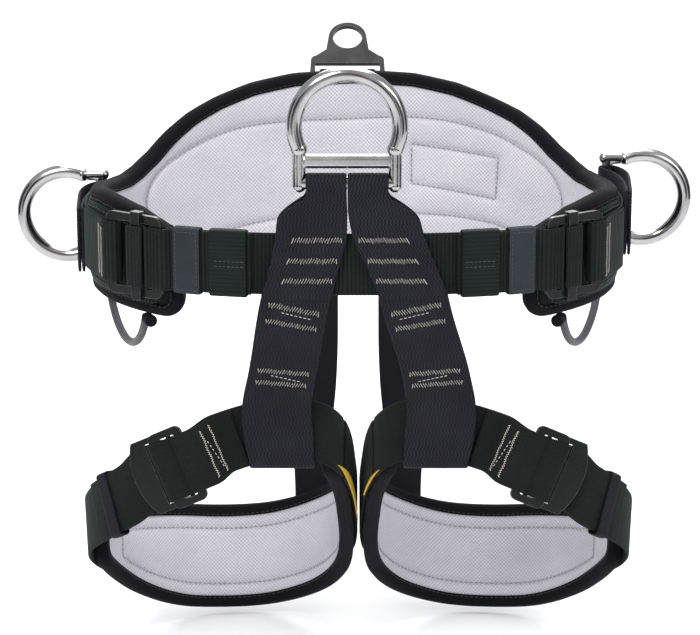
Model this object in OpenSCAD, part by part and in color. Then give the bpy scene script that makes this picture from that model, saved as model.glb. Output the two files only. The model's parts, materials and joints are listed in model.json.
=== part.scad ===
// Tree climbing saddle: padded waist belt, two padded leg loops, three forged
// attachment rings, a rear restraint plate and the steel adjusters between them.
// Millimetres. The origin is the middle of the waist opening at the height of the
// belt's centre line. +Z is up, the wearer faces -Y, and the wearer's left is +X.
// The left half is drawn, and the right half is its mirror image.

/* [Waist] */
// Width of the waist opening at the middle of the pad
waist_w = 380; // [360:1:400]
// Depth of the waist opening at the middle of the pad
waist_d = 230; // [220:1:240]
// Thickness of the waist pad
pad_t = 12; // [11:0.5:13]
// Height of the pad's upper edge above the belt line, at the middle of the back
back_rise = 98; // [85:1:105]
// Height of the pad's upper edge above the belt line, at its front ends
front_rise = 22; // [20:1:24]

/* [Webbing] */
// Width of the belt and leg straps
web_w = 45; // [43:0.5:46]
// Thickness of one ply of webbing
web_t = 2.4; // [2:0.1:2.6]
// Width of the two risers between the front ring and the leg loops
riser_w = 49; // [46:0.5:50]

/* [Rings] */
// Radius of the front ring's round part, to the middle of the bar
front_ring_r = 37; // [36:0.5:38]
// Radius of a side ring's round part, to the middle of the bar
side_ring_r = 33; // [32.5:0.5:34]
// Radius of the round bar in a ring's bow
bow_bar_r = 5.5; // [5:0.1:5.8]
// Radius of the straight bars and legs of a ring
leg_bar_r = 4.5; // [4:0.1:4.6]
// Radius of the hole in the rear plate
rear_hole_r = 11.6; // [10:0.1:12]

/* [Leg loops] */
// Thickness of a leg pad
leg_pad_t = 10; // [9:0.5:11]
// Largest height of a leg pad
leg_pad_h = 82; // [76:1:88]

/* [Hidden] */

// Squareness of the waist's plan: 1 is an ellipse, and less is squarer.
waist_power = 0.8;
// Angles round the waist, in degrees from the middle of the front.
pad_end_angle = 35;
buckle_angle = 48;
side_ring_angle = 112;
// The front ring and the rear plate hang a little to the wearer's right of the
// waist's middle, and the leg loops a little to the left.
ring_shift = -5;
leg_shift = 3.5;
function riser_shift(z) =
  mix(0.4, z > -25 ? ring_shift : leg_shift, ease(z > -25 ? (z + 25) / 76 : -(z + 25) / 60));
// Distances outward from the middle of the waist pad.
panel_t = 1.4;
gap = 0.3;
panel_off = pad_t / 2 + gap;
belt_off = panel_off + panel_t + 0.7;
tail_off = belt_off + web_t + 0.4;
front_ply_off = belt_off + 2 * web_t + 0.4;
binding_w = 8;
layer_inset = binding_w + 0.6;
pad_corner_r = 16;
lining_t = 1;
shell_t = 1.5;
half_web = web_w / 2;
ply_pitch = web_t + gap;

// --- vectors and curves -----------------------------------------------------

function unit(v) = v / norm(v);
function mix(a, b, f) = a + (b - a) * f;
function clamp(v, low, high) = min(max(v, low), high);
function ease(f) = let (g = clamp(f, 0, 1)) g * g * (3 - 2 * g);
function steps(a, b, n) = [for (i = [0:n]) a + (b - a) * i / n];
function reverse(v) = [for (i = [len(v) - 1:-1:0]) v[i]];

// A smooth curve through points p, at place t counted in points.
function spline_of(p0, p1, p2, p3, f) =
  0.5 * (2 * p1 + (p2 - p0) * f + (2 * p0 - 5 * p1 + 4 * p2 - p3) * f * f
    + (3 * p1 - p0 - 3 * p2 + p3) * f * f * f);
function open_spline(p, t) =
  let (n = len(p), i = clamp(floor(t), 0, n - 2))
  spline_of(p[max(i - 1, 0)], p[i], p[i + 1], p[min(i + 2, n - 1)], t - i);
function closed_spline(p, t) =
  let (n = len(p), i = floor(t), k = (i % n + n) % n)
  spline_of(p[(k + n - 1) % n], p[k], p[(k + 1) % n], p[(k + 2) % n], t - i);
function along(p, n) = [for (t = steps(0, len(p) - 1, n)) open_spline(p, t)];

// --- soft pieces as swept sections --------------------------------------------

// A closed solid through rings of points; closed joins the last ring to the first.
module skin(rings, closed = false) {
  k = len(rings[0]);
  n = len(rings);
  spans = closed ? n : n - 1;
  walls = [
    for (i = [0:spans - 1], j = [0:k - 1])
      let (a = i * k + j, b = i * k + (j + 1) % k,
           c = (i + 1) % n * k + j, d = (i + 1) % n * k + (j + 1) % k)
      each j < k / 2 ? [[a, c, d], [a, d, b]] : [[a, c, b], [b, c, d]]
  ];
  ends = closed ? [] : [[for (j = [0:k - 1]) j], [for (j = [k - 1:-1:0]) (n - 1) * k + j]];
  polyhedron(points = [for (r = rings) each r], faces = concat(walls, ends), convexity = 8);
}

// A station is [place, up, outward, low, high]: a line across a strip of fabric.
function corner(s, h, off) = s[0] + s[1] * h + s[2] * off;
function section(s, from, to) =
  [corner(s, s[3], from), corner(s, s[4], from), corner(s, s[4], to), corner(s, s[3], to)];

// A layer of fabric between two distances outward from its stations.
module layer(stations, from, to) {
  skin([for (s = stations) section(s, from, to)]);
}

// The tape round the edge of a pad: outer and inner are its outlines' stations.
module edge_tape(outer, inner, from, to) {
  n = len(outer) - 1;
  skin(concat(
    [for (i = [0:n]) tape_section(outer[i], inner[i], 4, from, to)],
    [for (i = [n:-1:0]) tape_section(outer[i], inner[i], 3, from, to)]
  ), closed = true);
}
function tape_section(o, i, edge, from, to) =
  [corner(i, i[edge], from), corner(o, o[edge], from), corner(o, o[edge], to), corner(i, i[edge], to)];

// Stations of a strip that follows places, with its width along ups.
function strip(places, ups, low, high) = [
  for (i = [0:len(places) - 1])
    let (t = places[min(i + 1, len(places) - 1)] - places[max(i - 1, 0)])
    [places[i], ups[i], unit(cross(t, ups[i])),
     is_list(low) ? low[i] : low, is_list(high) ? high[i] : high]
];
module webbing(places, ups, low = -half_web, high = half_web, t = web_t) {
  layer(strip(places, ups, low, high), -t / 2, t / 2);
}
// Webbing standing on edge along a line in plan.
module belt(line, low = -half_web, high = half_web, t = web_t) {
  webbing([for (p = line) [p[0], p[1], 0]], [for (p = line) [0, 0, 1]], low, high, t);
}

// A rounded flat plate in XY, from 0 to t in Z.
module plate(w, h, r, t) {
  linear_extrude(t)
    union() {
      square([w - 2 * r, h], center = true);
      square([w, h - 2 * r], center = true);
      for (x = [-1, 1], y = [-1, 1])
        translate([x * (w / 2 - r), y * (h / 2 - r)]) circle(r, $fn = 32);
    }
}

module rod(a, b, r) {
  d = b - a;
  translate(a)
    rotate([0, acos(d[2] / norm(d)), atan2(d[1], d[0])])
      cylinder(r = r, h = norm(d), $fn = 48);
}

module on_side(side) {
  if (side > 0) children();
  else mirror([1, 0, 0]) children();
}
module on_leg(side) translate([leg_shift, 0, 0]) on_side(side) children();

// --- the waist's plan --------------------------------------------------------

function rounded(v) = sign(v) * pow(abs(v), waist_power);
function waist_line(a) = [waist_w / 2 * rounded(sin(a)), -waist_d / 2 * rounded(cos(a))];
function waist_along(a) = unit(waist_line(a + 0.5) - waist_line(a - 0.5));
function waist_out(a) = let (t = waist_along(a)) [t[1], -t[0]];
function waist(a, off = 0) = waist_line(a) + waist_out(a) * off;
function flat3(p, z = 0) = [p[0], p[1], z];

// Upper and lower edges of the pad at an angle round the waist.
function pad_top(a) =
  let (b = min(a, 360 - a), rise = back_rise - front_rise)
  front_rise + lookup(b, [[40, 0], [50, 10], [60, 14], [70, 16], [85, 12], [105, 5], [114, 5],
    [120, 0.12 * rise],
    [127, 0.24 * rise], [134, 0.42 * rise], [142, 0.6 * rise], [150, 0.74 * rise], [160, 0.88 * rise],
    [170, 0.97 * rise], [180, rise]])
  + (a < 180 ? lookup(a, [[95, 0], [108, 3], [122, 5], [136, 3], [150, 0]]) : 0);
function pad_low(a) = -41 - 9 * pow(cos(a), 2);

// How far a rounded corner cuts in, at a distance from the end.
function corner_cut(d, r) = d >= r ? 0 : r - sqrt(r * r - (r - d) * (r - d));

pad_steps = 44;
// Stations of the waist pad, with the edge tape's width taken off all round.
function pad_stations(inset) =
  let (r = pad_corner_r - inset / 2, mm = 0.45 * inset, end = pad_end_angle + mm)
  [for (i = [0:pad_steps])
    let (a = mix(end, 360 - end, i / pad_steps),
         d = (i < pad_steps / 2 ? a - end : 360 - end - a) * 2.2,
         cut = corner_cut(d, r), p = waist(a), n = waist_out(a))
    [flat3(p), [0, 0, 1], flat3(n), pad_low(a) + inset + cut, pad_top(a) - inset - cut]];

module waist_pad_lining() color("gainsboro")
  layer(pad_stations(layer_inset), -pad_t / 2, -pad_t / 2 + lining_t);
module waist_pad_foam() color("dimgray")
  layer(pad_stations(layer_inset), -pad_t / 2 + lining_t, pad_t / 2 - shell_t);
module waist_pad_shell() color("#17181c")
  layer(pad_stations(layer_inset), pad_t / 2 - shell_t, pad_t / 2);
module waist_pad_binding() color("#0b0b0e")
  edge_tape(pad_stations(0), pad_stations(binding_w), -pad_t / 2, pad_t / 2);

// The reinforcing panel on the outside of each end of the pad.
module hip_panel(side) color("#14201c") on_side(side)
  layer([for (a = steps(40, 102, 18))
    let (cut = corner_cut((a - 40) * 2.2, 12) + corner_cut((102 - a) * 2.6, 12))
    [flat3(waist(a)), [0, 0, 1], flat3(waist_out(a)),
     pad_low(a) + binding_w + 1 + cut, min(pad_top(a) - binding_w - 1, 30) - cut]],
    panel_off, panel_off + panel_t);

// --- the waist adjusters -----------------------------------------------------

// Places in a waist adjuster's own frame: s runs back round the hip, n outward.
buckle_off = 13;
buckle_t = 3;
buckle_l = 50;
buckle_h = 60;
buckle_bar = 8;
buckle_place = waist(buckle_angle, buckle_off);
buckle_along = waist_along(buckle_angle);
buckle_out = waist_out(buckle_angle);
function at_buckle(s, n) = buckle_place + buckle_along * s + buckle_out * n;
module in_buckle() {
  multmatrix([
    [buckle_along[0], 0, buckle_out[0], buckle_place[0]],
    [buckle_along[1], 0, buckle_out[1], buckle_place[1]],
    [0, -1, 0, 0],
    [0, 0, 0, 1]
  ]) children();
}

module waist_buckle(side) color("#121614") on_side(side) in_buckle()
  translate([0, 0, -buckle_t / 2]) difference() {
    plate(buckle_l, buckle_h, 6, buckle_t);
    translate([0, 0, -1]) plate(buckle_l - 2 * buckle_bar, buckle_h - 12, 2, buckle_t + 2);
  }

// The slider bar lies over the frame's side rails, with a hook round each.
slider_s = -4;
slider_w = 8;
slider_t = 2.5;
slider_n = buckle_t / 2 + 0.4;
module waist_slider(side) color("#1d2421") on_side(side) in_buckle()
  translate([slider_s, 0, slider_n]) {
    translate([-slider_w / 2, -buckle_h / 2 - 2.4, 0]) cube([slider_w, buckle_h + 4.8, slider_t]);
    for (y = [-1, 1])
      translate([-slider_w / 2, y * (buckle_h / 2 + 1.4) - 1, -slider_n - buckle_t / 2])
        cube([slider_w, 2, slider_n + buckle_t / 2 + 0.5]);
  }

// The fold of the belt round the slider bar.
fold_r = slider_t / 2 + gap + web_t / 2;
fold_n = slider_n + slider_t / 2;
fold_end = -11;
module belt_fold(side) color("#161b19") on_side(side)
  belt(concat(
    [at_buckle(fold_end, fold_n - fold_r), at_buckle(-5, fold_n - fold_r)],
    [for (q = steps(-90, 90, 8))
      at_buckle(slider_s + slider_w / 2 + 0.4 + fold_r * cos(q), fold_n + fold_r * sin(q))],
    [at_buckle(-5, fold_n + fold_r), at_buckle(fold_end, fold_n + fold_r)]));

// The belt lies under the adjuster's front bar, and its tail comes back over it.
belt_start = 36;
belt_mid = belt_off + web_t / 2;
tail_mid = tail_off + web_t / 2;
fold_gap = 2;
function belt_half() = concat(
  [for (a = steps(0, belt_start, 16)) waist(a, belt_mid)],
  [at_buckle(-22, -4.2), at_buckle(-17, -3.1), at_buckle(fold_end - fold_gap, -1)]);
module front_belt() color("#161b19")
  belt(concat(
    [for (p = reverse(belt_half())) [-p[0], p[1]]],
    [for (i = [1:len(belt_half()) - 1]) belt_half()[i]]));

tail_angle = 17;
module belt_tail(side) color("#161b19") on_side(side)
  belt(concat(
    [for (a = steps(tail_angle, 35, 12)) waist(a, tail_mid)],
    [at_buckle(-31, -3.2), at_buckle(-26.9, 2.8), at_buckle(-22, 3.4), at_buckle(-17, 3.4),
     at_buckle(fold_end - fold_gap, 5)]));

// The webbing round the back, folded back over each adjuster's rear bar.
function off_at(a) = mix(panel_off, belt_off, ease((118 - min(a, 360 - a)) / 10)) + web_t / 2;
bar_fold = concat(
  [at_buckle(34, -6.6), at_buckle(27, -4), at_buckle(22, -3)],
  [for (q = steps(-90, 90, 8)) at_buckle(17.2 - 3 * cos(q), 3 * sin(q))],
  [at_buckle(22, 3), at_buckle(26, 2.9), at_buckle(30, 0.4), at_buckle(35, -3.8)]);
fold_over = [for (a = [70, 73, 76]) waist(a, belt_off + ply_pitch + web_t / 2)];
module waist_webbing() color("#14171a") {
  half = concat(reverse(fold_over), reverse(bar_fold), [for (a = steps(70, 180, 26)) waist(a, off_at(a))]);
  other = [for (i = [len(half) - 2:-1:0]) [-half[i][0], half[i][1]]];
  belt(concat(half, other));
}

// --- elastic keepers ------------------------------------------------------------

module keeper(angle, length, from, to, height) {
  place = waist(angle, 0);
  t = waist_along(angle);
  n = waist_out(angle);
  wall = 1;
  multmatrix([[t[0], 0, n[0], place[0]], [t[1], 0, n[1], place[1]], [0, -1, 0, 0], [0, 0, 0, 1]])
    translate([-length / 2, -height / 2, 0]) difference() {
      translate([0, -wall, from - wall]) cube([length, height + 2 * wall, to - from + 2 * wall]);
      translate([-1, 0, from]) cube([length + 2, height, to - from]);
    }
}
outer_keeper_angle = 32;
inner_keeper_angle = 22;
module outer_keeper(side) color("#2a3033") on_side(side)
  keeper(outer_keeper_angle, 20, belt_off - 1.1, tail_off + web_t + 1, web_w + 1.6);
module inner_keeper(side) color("#1b2a27") on_side(side)
  keeper(inner_keeper_angle, 27, belt_off - 1.1, tail_off + web_t + 1, web_w + 1.6);

// --- rings ---------------------------------------------------------------------

// A forged ring in the XZ plane: its fixed bar on Z = 0, legs up, bow above.
module forged_ring(r, leg_x, leg_l, cross_z) {
  bow_z = leg_l + sqrt(r * r - leg_x * leg_x);
  neck = acos(leg_x / r);
  rod([-leg_x, 0, 0], [leg_x, 0, 0], leg_bar_r);
  for (x = [-1, 1]) {
    rod([x * leg_x, 0, -2], [x * leg_x, 0, leg_l], leg_bar_r + 0.1);
    translate([x * leg_x, 0, -2]) sphere(leg_bar_r + 0.2, $fn = 48);
    translate([x * leg_x, 0, leg_l]) sphere(bow_bar_r + 0.2, $fn = 48);
  }
  if (cross_z > 0)
    translate([0, 0, cross_z]) rotate([0, 90, 0])
      cylinder(r = leg_bar_r - 0.3, h = 2 * leg_x, center = true, $fn = 48);
  translate([0, 0, bow_z]) rotate([90, 0, 0]) rotate([0, 0, -neck])
    rotate_extrude(angle = 180 + 2 * neck, $fn = 96)
      translate([r, 0]) circle(bow_bar_r, $fn = 48);
}

ring_leg_x = 33.5;
ring_place = [ring_shift, -(waist_d / 2 + 10.6), 59];
module front_ring() color("silver") translate(ring_place)
  forged_ring(front_ring_r, ring_leg_x, 24, 15.5);

side_ring_off = 18.7;
side_ring_leg_x = 30.5;
// The left ring sits a little higher than the right one.
function side_ring_z(side) = side > 0 ? 8 : -5;
side_ring_place = flat3(waist(side_ring_angle, side_ring_off));
module side_ring(side) color("silver") on_side(side)
  translate(side_ring_place + [0, 0, side_ring_z(side)]) rotate([0, 90, 0])
    forged_ring(side_ring_r, side_ring_leg_x, 14, 0);

// The doubled webbing that holds a side ring's bar.
tab_fold_r = leg_bar_r + gap + web_t / 2;
tab_low_off = belt_off + 2 * ply_pitch - 1.2;
module side_ring_tab(side) color("#1b1b22") on_side(side) {
  c = waist(side_ring_angle, side_ring_off);
  t = waist_along(side_ring_angle);
  n = waist_out(side_ring_angle);
  inner = [for (a = [81, 85, 89, 94, 99, 104]) waist(a, tab_low_off)];
  turn = [for (q = steps(-90, 90, 10)) c + t * tab_fold_r * cos(q) + n * tab_fold_r * sin(q)];
  outer = [for (p = [[103, 22.4], [98, 19.4], [93, 17], [89, 15.6], [85, 15.2], [81, 15.2]])
    waist(p[0], p[1] + tab_low_off - 12.2)];
  translate([0, 0, side_ring_z(side)]) belt(concat(inner, turn, outer), -24.3, 24.3);
}

// --- rear restraint plate ----------------------------------------------------

plate_t = 4;
plate_lean = 49;
plate_slot_z = 90;
plate_place = [ring_shift, waist_d / 2 + 15.5, plate_slot_z];
eye_z = 39;
module rear_plate() color("#15161a") translate(plate_place) rotate([-plate_lean, 0, 0]) {
  translate([0, plate_t / 2, 0]) rotate([90, 0, 0]) difference() {
    linear_extrude(plate_t) union() {
      hull() {
        translate([0, eye_z]) circle(rear_hole_r + 3.4, $fn = 48);
        translate([0, 26]) square([33.6, 2], center = true);
      }
      hull() {
        translate([0, 24.5]) square([34.5, 3], center = true);
        for (x = [-1, 1]) translate([x * 24, 14.5]) circle(4.8, $fn = 32);
      }
      hull() {
        for (x = [-1, 1]) translate([x * 24, 15]) circle(5, $fn = 32);
        translate([0, -1]) square([59.5, 2], center = true);
      }
    }
    translate([0, eye_z, -1]) cylinder(r = rear_hole_r, h = plate_t + 2, $fn = 64);
    translate([-25.5, 2.8, -1]) cube([51, 9.6, plate_t + 2]);
    translate([-31, -9, -1]) cube([62, 9, plate_t + 2]);
  }
  rod([-29.7, 0, 0], [29.7, 0, 0], 3.4);
}

// The webbing loop that holds the rear plate against the pad.
tab_r = 3.4 + gap + web_t / 2;
module rear_plate_tab() color("#14171a") {
  y = plate_place[1];
  line = concat(
    [for (z = [-20, 0, 20, 40, 60, 80]) [y - tab_r - ease((76 - z) / 60) * 0.3, z]],
    [for (q = steps(180, 0, 10)) [y + tab_r * cos(q), plate_slot_z + tab_r * sin(q)]],
    [[y + tab_r - 1, 80], [y + 1.6, 68], [y - 1, 54], [y - tab_r + ply_pitch, 38],
     [y - tab_r + ply_pitch, 10], [y - tab_r + ply_pitch, -20]]);
  webbing([for (p = line) [ring_shift, p[0], p[1]]], [for (p = line) [1, 0, 0]], -22, 22);
}

// --- gear loops ------------------------------------------------------------------

gear_half = 44;
gear_drop = 29;
gear_r = (gear_half * gear_half + gear_drop * gear_drop) / (2 * gear_drop);
gear_arc = asin(gear_half / gear_r);
gear_tube_r = 3;
gear_z = -50.5;
gear_mid = [168, -37];
gear_turn = 68;
module in_gear_loop() {
  translate([gear_mid[0], gear_mid[1], gear_z]) rotate([0, 0, gear_turn]) children();
}
module gear_loop(side) color("#5a5a60") on_side(side) in_gear_loop() {
  translate([0, 0, gear_r - gear_drop]) rotate([90, 0, 0]) rotate([0, 0, 270 - gear_arc])
    rotate_extrude(angle = 2 * gear_arc, $fn = 96) translate([gear_r, 0]) circle(gear_tube_r, $fn = 32);
  for (x = [-1, 1]) {
    translate([x * gear_half, 0, 0]) sphere(gear_tube_r + 0.1, $fn = 32);
    rod([x * gear_half, 0, 0], [x * (gear_half + 11), 0, 0], gear_tube_r - 0.4);
  }
}
module gear_loop_tabs(side) color("#17181c") on_side(side) in_gear_loop()
  for (x = [-1, 1])
    translate([x * (gear_half + 8), 0, 0]) rotate([0, 90, 0]) difference() {
      cylinder(r = gear_tube_r + 1.4, h = 8, center = true, $fn = 48);
      cylinder(r = gear_tube_r - 0.1, h = 10, center = true, $fn = 48);
    }

// --- risers ------------------------------------------------------------------------

// Each riser is [x, half width, z]; it narrows to pass through the front ring.
riser_top = [[14.5, 13.5, 59], [14.5, 13.5, 51], [20, 19.3, 43], [25, 23.8, 34], [27.5, riser_w / 2, 22],
             [34, riser_w / 2, 0], [42.3, riser_w / 2, -25]];
front_ply = waist_d / 2 + front_ply_off + web_t / 2;
back_ply = waist_d / 2 + belt_off - 4.1 - web_t / 2;
function ply_y(r, z, edge) = -mix(edge, waist_d / 2 + 10.6 + r, ease((z - 18) / 40));
module riser_yoke(side) color("#101016") on_side(side) {
  down = [for (p = along(riser_top, 16)) [p[0] + side * riser_shift(p[2]), p[1], p[2]]];
  turn = steps(180, 0, 10);
  r = tab_fold_r;
  places = concat(
    [for (p = reverse(down)) [p[0], ply_y(-r, p[2], back_ply), p[2]]],
    [for (q = [for (i = [1:9]) turn[i]])
      [riser_top[0][0] + side * ring_shift, ring_place[1] - r * cos(q), ring_place[2] + r * sin(q)]],
    [for (p = down) [p[0], ply_y(r, p[2], front_ply), p[2]]]);
  half = concat([for (p = reverse(down)) p[1]], [for (i = [1:9]) riser_top[0][1]], [for (p = down) p[1]]);
  webbing(places, [for (p = places) [1, 0, 0]], -half, half);
}

hinge = [0, -front_ply, -27];
riser_low = [[43.2, -0.3, -29, 24.5], [49, -7, -55, 24.5], [55.5, -16, -85, 24.5], [59.5, -23, -110, 25],
             [58, -24, -136, 25], [56, -24, -153, 23.5]];
sleeve_depth = 8;
module riser(side) color("#101016") on_side(side) {
  front = [for (p = along(riser_low, 16)) [p[0] + side * riser_shift(p[2]), p[1], p[2], p[3]]];
  y = hinge[1] + 24;
  x = 56 + side * leg_shift;
  back = [[x + 1, 2 * sleeve_depth, -140, 24.5], [x + 2, 2 * sleeve_depth - 1, -122, 24.5],
          [x + 1.6, 12, -106, 24], [x - 0.4, 0.5, -92, 23], [x - 4, -9 + ply_pitch, -71, 23]];
  places = concat(
    [for (p = front) [p[0], hinge[1] - p[1], p[2]]],
    [for (q = steps(180, 360, 8)) [x, y + sleeve_depth * (1 + cos(q)), -153 + 5 * sin(q)]],
    [for (p = back) [p[0], y + p[1], p[2]]]);
  half = concat([for (p = front) p[3] * riser_w / 49], [for (i = [0:8]) 23.5], [for (p = back) p[3]]);
  webbing(places, [for (p = places) [1, 0, 0]], -half, half);
}

// --- leg loops -----------------------------------------------------------------------

// The line round a leg loop, front first, then the inside, the back and the
// outside of the thigh: [place, direction across the band].
leg_line = [
  [50, -91.5, -128, 0.15, 0.05, 1], [22, -86, -144, 0, 0.4, 0.9], [11, -32, -189, 0, 0.7, 0.7],
  [14.2, 28, -249, 0, 0.55, 0.83], [62, 62, -282, 0, 0.35, 0.94], [128, 57, -284, 0, 0.3, 0.95],
  [181, 20, -263, 0.05, 0.5, 0.86], [199, -30, -228, 0.1, 0.6, 0.8], [167, -72, -189, 0.3, 0.35, 0.88],
  [106, -88, -145, 0.4, 0.12, 0.9]
];
function leg_place(t) = let (p = closed_spline(leg_line, t)) [p[0], p[1], p[2]];
function leg_up(t) = let (p = closed_spline(leg_line, t)) unit([p[3], p[4], p[5]]);
function leg_along(t) = unit(leg_place(t + 0.02) - leg_place(t - 0.02));
function leg_out(t) = unit(cross(leg_up(t), leg_along(t)));
function leg_point(t, off) = leg_place(t) + leg_out(t) * off;

leg_pad_from = 0.78;
leg_pad_to = 6.75;
leg_pad_steps = 36;
function leg_pad_half(t) = mix(24, leg_pad_h / 2, ease((t - 1) / 2.6)) - 20 * ease((t - 5) / 2.2);
function leg_pad_stations(inset) =
  let (f = 0.013 * inset, from = leg_pad_from + f, to = leg_pad_to - f, r = 14 - inset / 2)
  [for (i = [0:leg_pad_steps])
    let (t = mix(from, to, i / leg_pad_steps), d = min(t - from, to - t) * 55,
         h = leg_pad_half(t) - inset - corner_cut(d, r))
    [leg_place(t), leg_up(t), leg_out(t), -h, h]];

half_leg = leg_pad_t / 2;
module leg_pad_lining(side) color("gainsboro") on_leg(side)
  layer(reverse(leg_pad_stations(layer_inset)), -half_leg, -half_leg + lining_t);
module leg_pad_foam(side) color("dimgray") on_leg(side)
  layer(reverse(leg_pad_stations(layer_inset)), -half_leg + lining_t, half_leg - shell_t);
module leg_pad_shell(side) color("goldenrod") on_leg(side)
  layer(reverse(leg_pad_stations(layer_inset)), half_leg - shell_t, half_leg);
module leg_pad_binding(side) color("#0b0b0e") on_leg(side)
  edge_tape(reverse(leg_pad_stations(0)), reverse(leg_pad_stations(binding_w)), -half_leg, half_leg);

// Places in a leg adjuster's own frame: s runs forward, w across, n outward.
leg_buckle_t = 8.58;
leg_web_off = half_leg + 0.9 + web_t / 2;
lb_up = leg_up(leg_buckle_t);
lb_along = unit(leg_along(leg_buckle_t) - lb_up * (leg_along(leg_buckle_t) * lb_up));
lb_out = cross(lb_up, lb_along);
lb_place = leg_point(leg_buckle_t, leg_web_off) + lb_out * 6;
function at_leg_buckle(s, n) = lb_place + lb_along * s + lb_out * n;
module in_leg_buckle() {
  multmatrix([for (i = [0:2]) [lb_along[i], lb_up[i], -lb_out[i], lb_place[i]]])
    mirror([0, 0, 1]) children();
}

// Webbing sewn round the outside of the pad, up to the adjuster and back as a tail.
frame_t = 2.5;
slide_s = -5;
leg_fold_r = frame_t / 2 + gap + web_t / 2;
function strap_up(t) = leg_up(t);
module leg_webbing(side) color("#121512") on_leg(side) {
  round_pad = [for (t = steps(1.25, 8.05, 40)) leg_point(t, leg_web_off)];
  ups = [for (t = steps(1.25, 8.05, 40)) leg_up(t)];
  under = [at_leg_buckle(-19, -6.4), at_leg_buckle(-10, -5.4), at_leg_buckle(-4, -leg_fold_r - 0.8)];
  turn = [for (q = steps(-90, 90, 8))
    at_leg_buckle(slide_s + 3.4 + leg_fold_r * cos(q), leg_fold_r * sin(q))];
  back = [at_leg_buckle(slide_s - 3.4, leg_fold_r - 0.2), at_leg_buckle(slide_s - 5.2, leg_fold_r - 1.4),
          at_leg_buckle(slide_s - 6.4, -1.4), at_leg_buckle(-14, -3.2), at_leg_buckle(-22, -3.6)];
  tail = [for (t = steps(8.04, 7.5, 5)) leg_point(t, leg_web_off + ply_pitch + 0.5)];
  tail_ups = [for (t = steps(8.04, 7.5, 5)) leg_up(t)];
  webbing(concat(round_pad, under, turn, back, tail),
    concat(ups, [for (p = concat(under, turn, back)) lb_up], tail_ups));
}

// The adjuster's frame, the slider bar in its window and the plate hooked on it.
module leg_buckle(side) color("#0f1311") on_leg(side) in_leg_buckle()
  translate([0, 0, -frame_t / 2]) difference() {
    linear_extrude(frame_t) union() {
      translate([-11, 0]) square([24, 46], center = true);
      translate([-8, 0]) square([18, 56], center = true);
      intersection() {
        translate([21, 0]) circle(52, $fn = 96);
        translate([-24, 0]) square([16, 56], center = true);
      }
      translate([4, 0]) square([8, 56], center = true);
    }
    translate([-13, -23.5, -1]) cube([18, 47, frame_t + 2]);
  }
module leg_slider(side) color("#1d2421") on_leg(side) in_leg_buckle()
  translate([slide_s - 3, -23.2, -frame_t / 2]) cube([6, 46.4, frame_t]);

plate_n = 8.4;
module leg_hook_plate(side) color("#151a18") on_leg(side) in_leg_buckle()
  translate([7.5, 0, plate_n - 1.25]) {
    difference() {
      plate(27, 58, 5, 2.5);
      translate([1, 0, -1]) plate(13, 47, 2, 4.5);
    }
    for (y = [-1, 1])
      translate([-12.5, y * 26.5 - 1.5, -plate_n + 1.25 + frame_t / 2 + 0.3])
        cube([9, 3, plate_n - 1.25 - frame_t / 2 - 0.3 + 0.5]);
  }

// The strap from the hook plate through the riser's sleeve to the pad's inner end.
module leg_strap(side) color("#121512") on_leg(side) {
  r = 1.25 + gap + web_t / 2;
  top = [at_leg_buckle(33, 4), at_leg_buckle(24, plate_n + 2.6), at_leg_buckle(17, plate_n + 2.75),
         at_leg_buckle(8, plate_n + 2), at_leg_buckle(2, plate_n + 2.75)];
  turn = [for (q = steps(90, 270, 8)) at_leg_buckle(-5.2 + r * cos(q), plate_n + r * sin(q))];
  under = [at_leg_buckle(2, plate_n - 2.75), at_leg_buckle(14, plate_n - 3),
           at_leg_buckle(24, plate_n - 3.4)];
  fore = [for (t = steps(9.1, 11.16, 14)) leg_point(t, leg_web_off)];
  fore_ups = [for (t = steps(9.1, 11.16, 14)) leg_up(t)];
  cover = [for (t = [9.34, 9.24, 9.14]) leg_point(t, leg_web_off + ply_pitch)];
  cover_ups = [for (t = [9.34, 9.24, 9.14]) leg_up(t)];
  mids = concat(top, turn, under);
  webbing(concat(cover, mids, fore), concat(cover_ups, [for (p = mids) lb_up], fore_ups));
}

// The elastic loop that holds the strap's tail.
module leg_keeper(side) color("#1a1c26") on_leg(side) {
  t0 = 7.78;
  up = leg_up(t0);
  a = leg_along(t0);
  o = cross(up, unit(a - up * (a * up)));
  p = leg_point(t0, leg_web_off);
  f = cross(o, up);
  multmatrix([for (i = [0:2]) [f[i], up[i], o[i], p[i]]]) translate([-6, 0, 0]) difference() {
    translate([0, -half_web - 2.4, -3.6]) cube([12, web_w + 4.8, 10]);
    translate([-1, -half_web - 1.2, -2.4]) cube([14, web_w + 2.4, 7.6]);
  }
}

// The strap from the bottom of the waist pad down to the back of a leg pad.
rear_line = [[36, 112.6, -53], [36, 111, -66], [36, 101, -100], [36, 82, -150], [36, 66, -200],
             [36, 60, -222]];
module rear_strap(side) color("#12121a") on_leg(side) {
  line = along(rear_line, 12);
  webbing(line, [for (p = line) [1, 0, 0]], -20, 20);
}

// --- which nodes are drawn --------------------------------------------------------------

waist_pad_lining();
waist_pad_foam();
waist_pad_shell();
waist_pad_binding();
waist_webbing();
front_belt();
front_ring();
rear_plate();
rear_plate_tab();
hip_panel(1);  // hip_panel_left
hip_panel(-1);  // hip_panel_right
waist_buckle(1);  // waist_buckle_left
waist_buckle(-1);  // waist_buckle_right
waist_slider(1);  // waist_slider_left
waist_slider(-1);  // waist_slider_right
belt_fold(1);  // belt_fold_left
belt_fold(-1);  // belt_fold_right
belt_tail(1);  // belt_tail_left
belt_tail(-1);  // belt_tail_right
outer_keeper(1);  // outer_keeper_left
outer_keeper(-1);  // outer_keeper_right
inner_keeper(1);  // inner_keeper_left
inner_keeper(-1);  // inner_keeper_right
side_ring(1);  // side_ring_left
side_ring(-1);  // side_ring_right
side_ring_tab(1);  // side_ring_tab_left
side_ring_tab(-1);  // side_ring_tab_right
gear_loop(1);  // gear_loop_left
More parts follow.
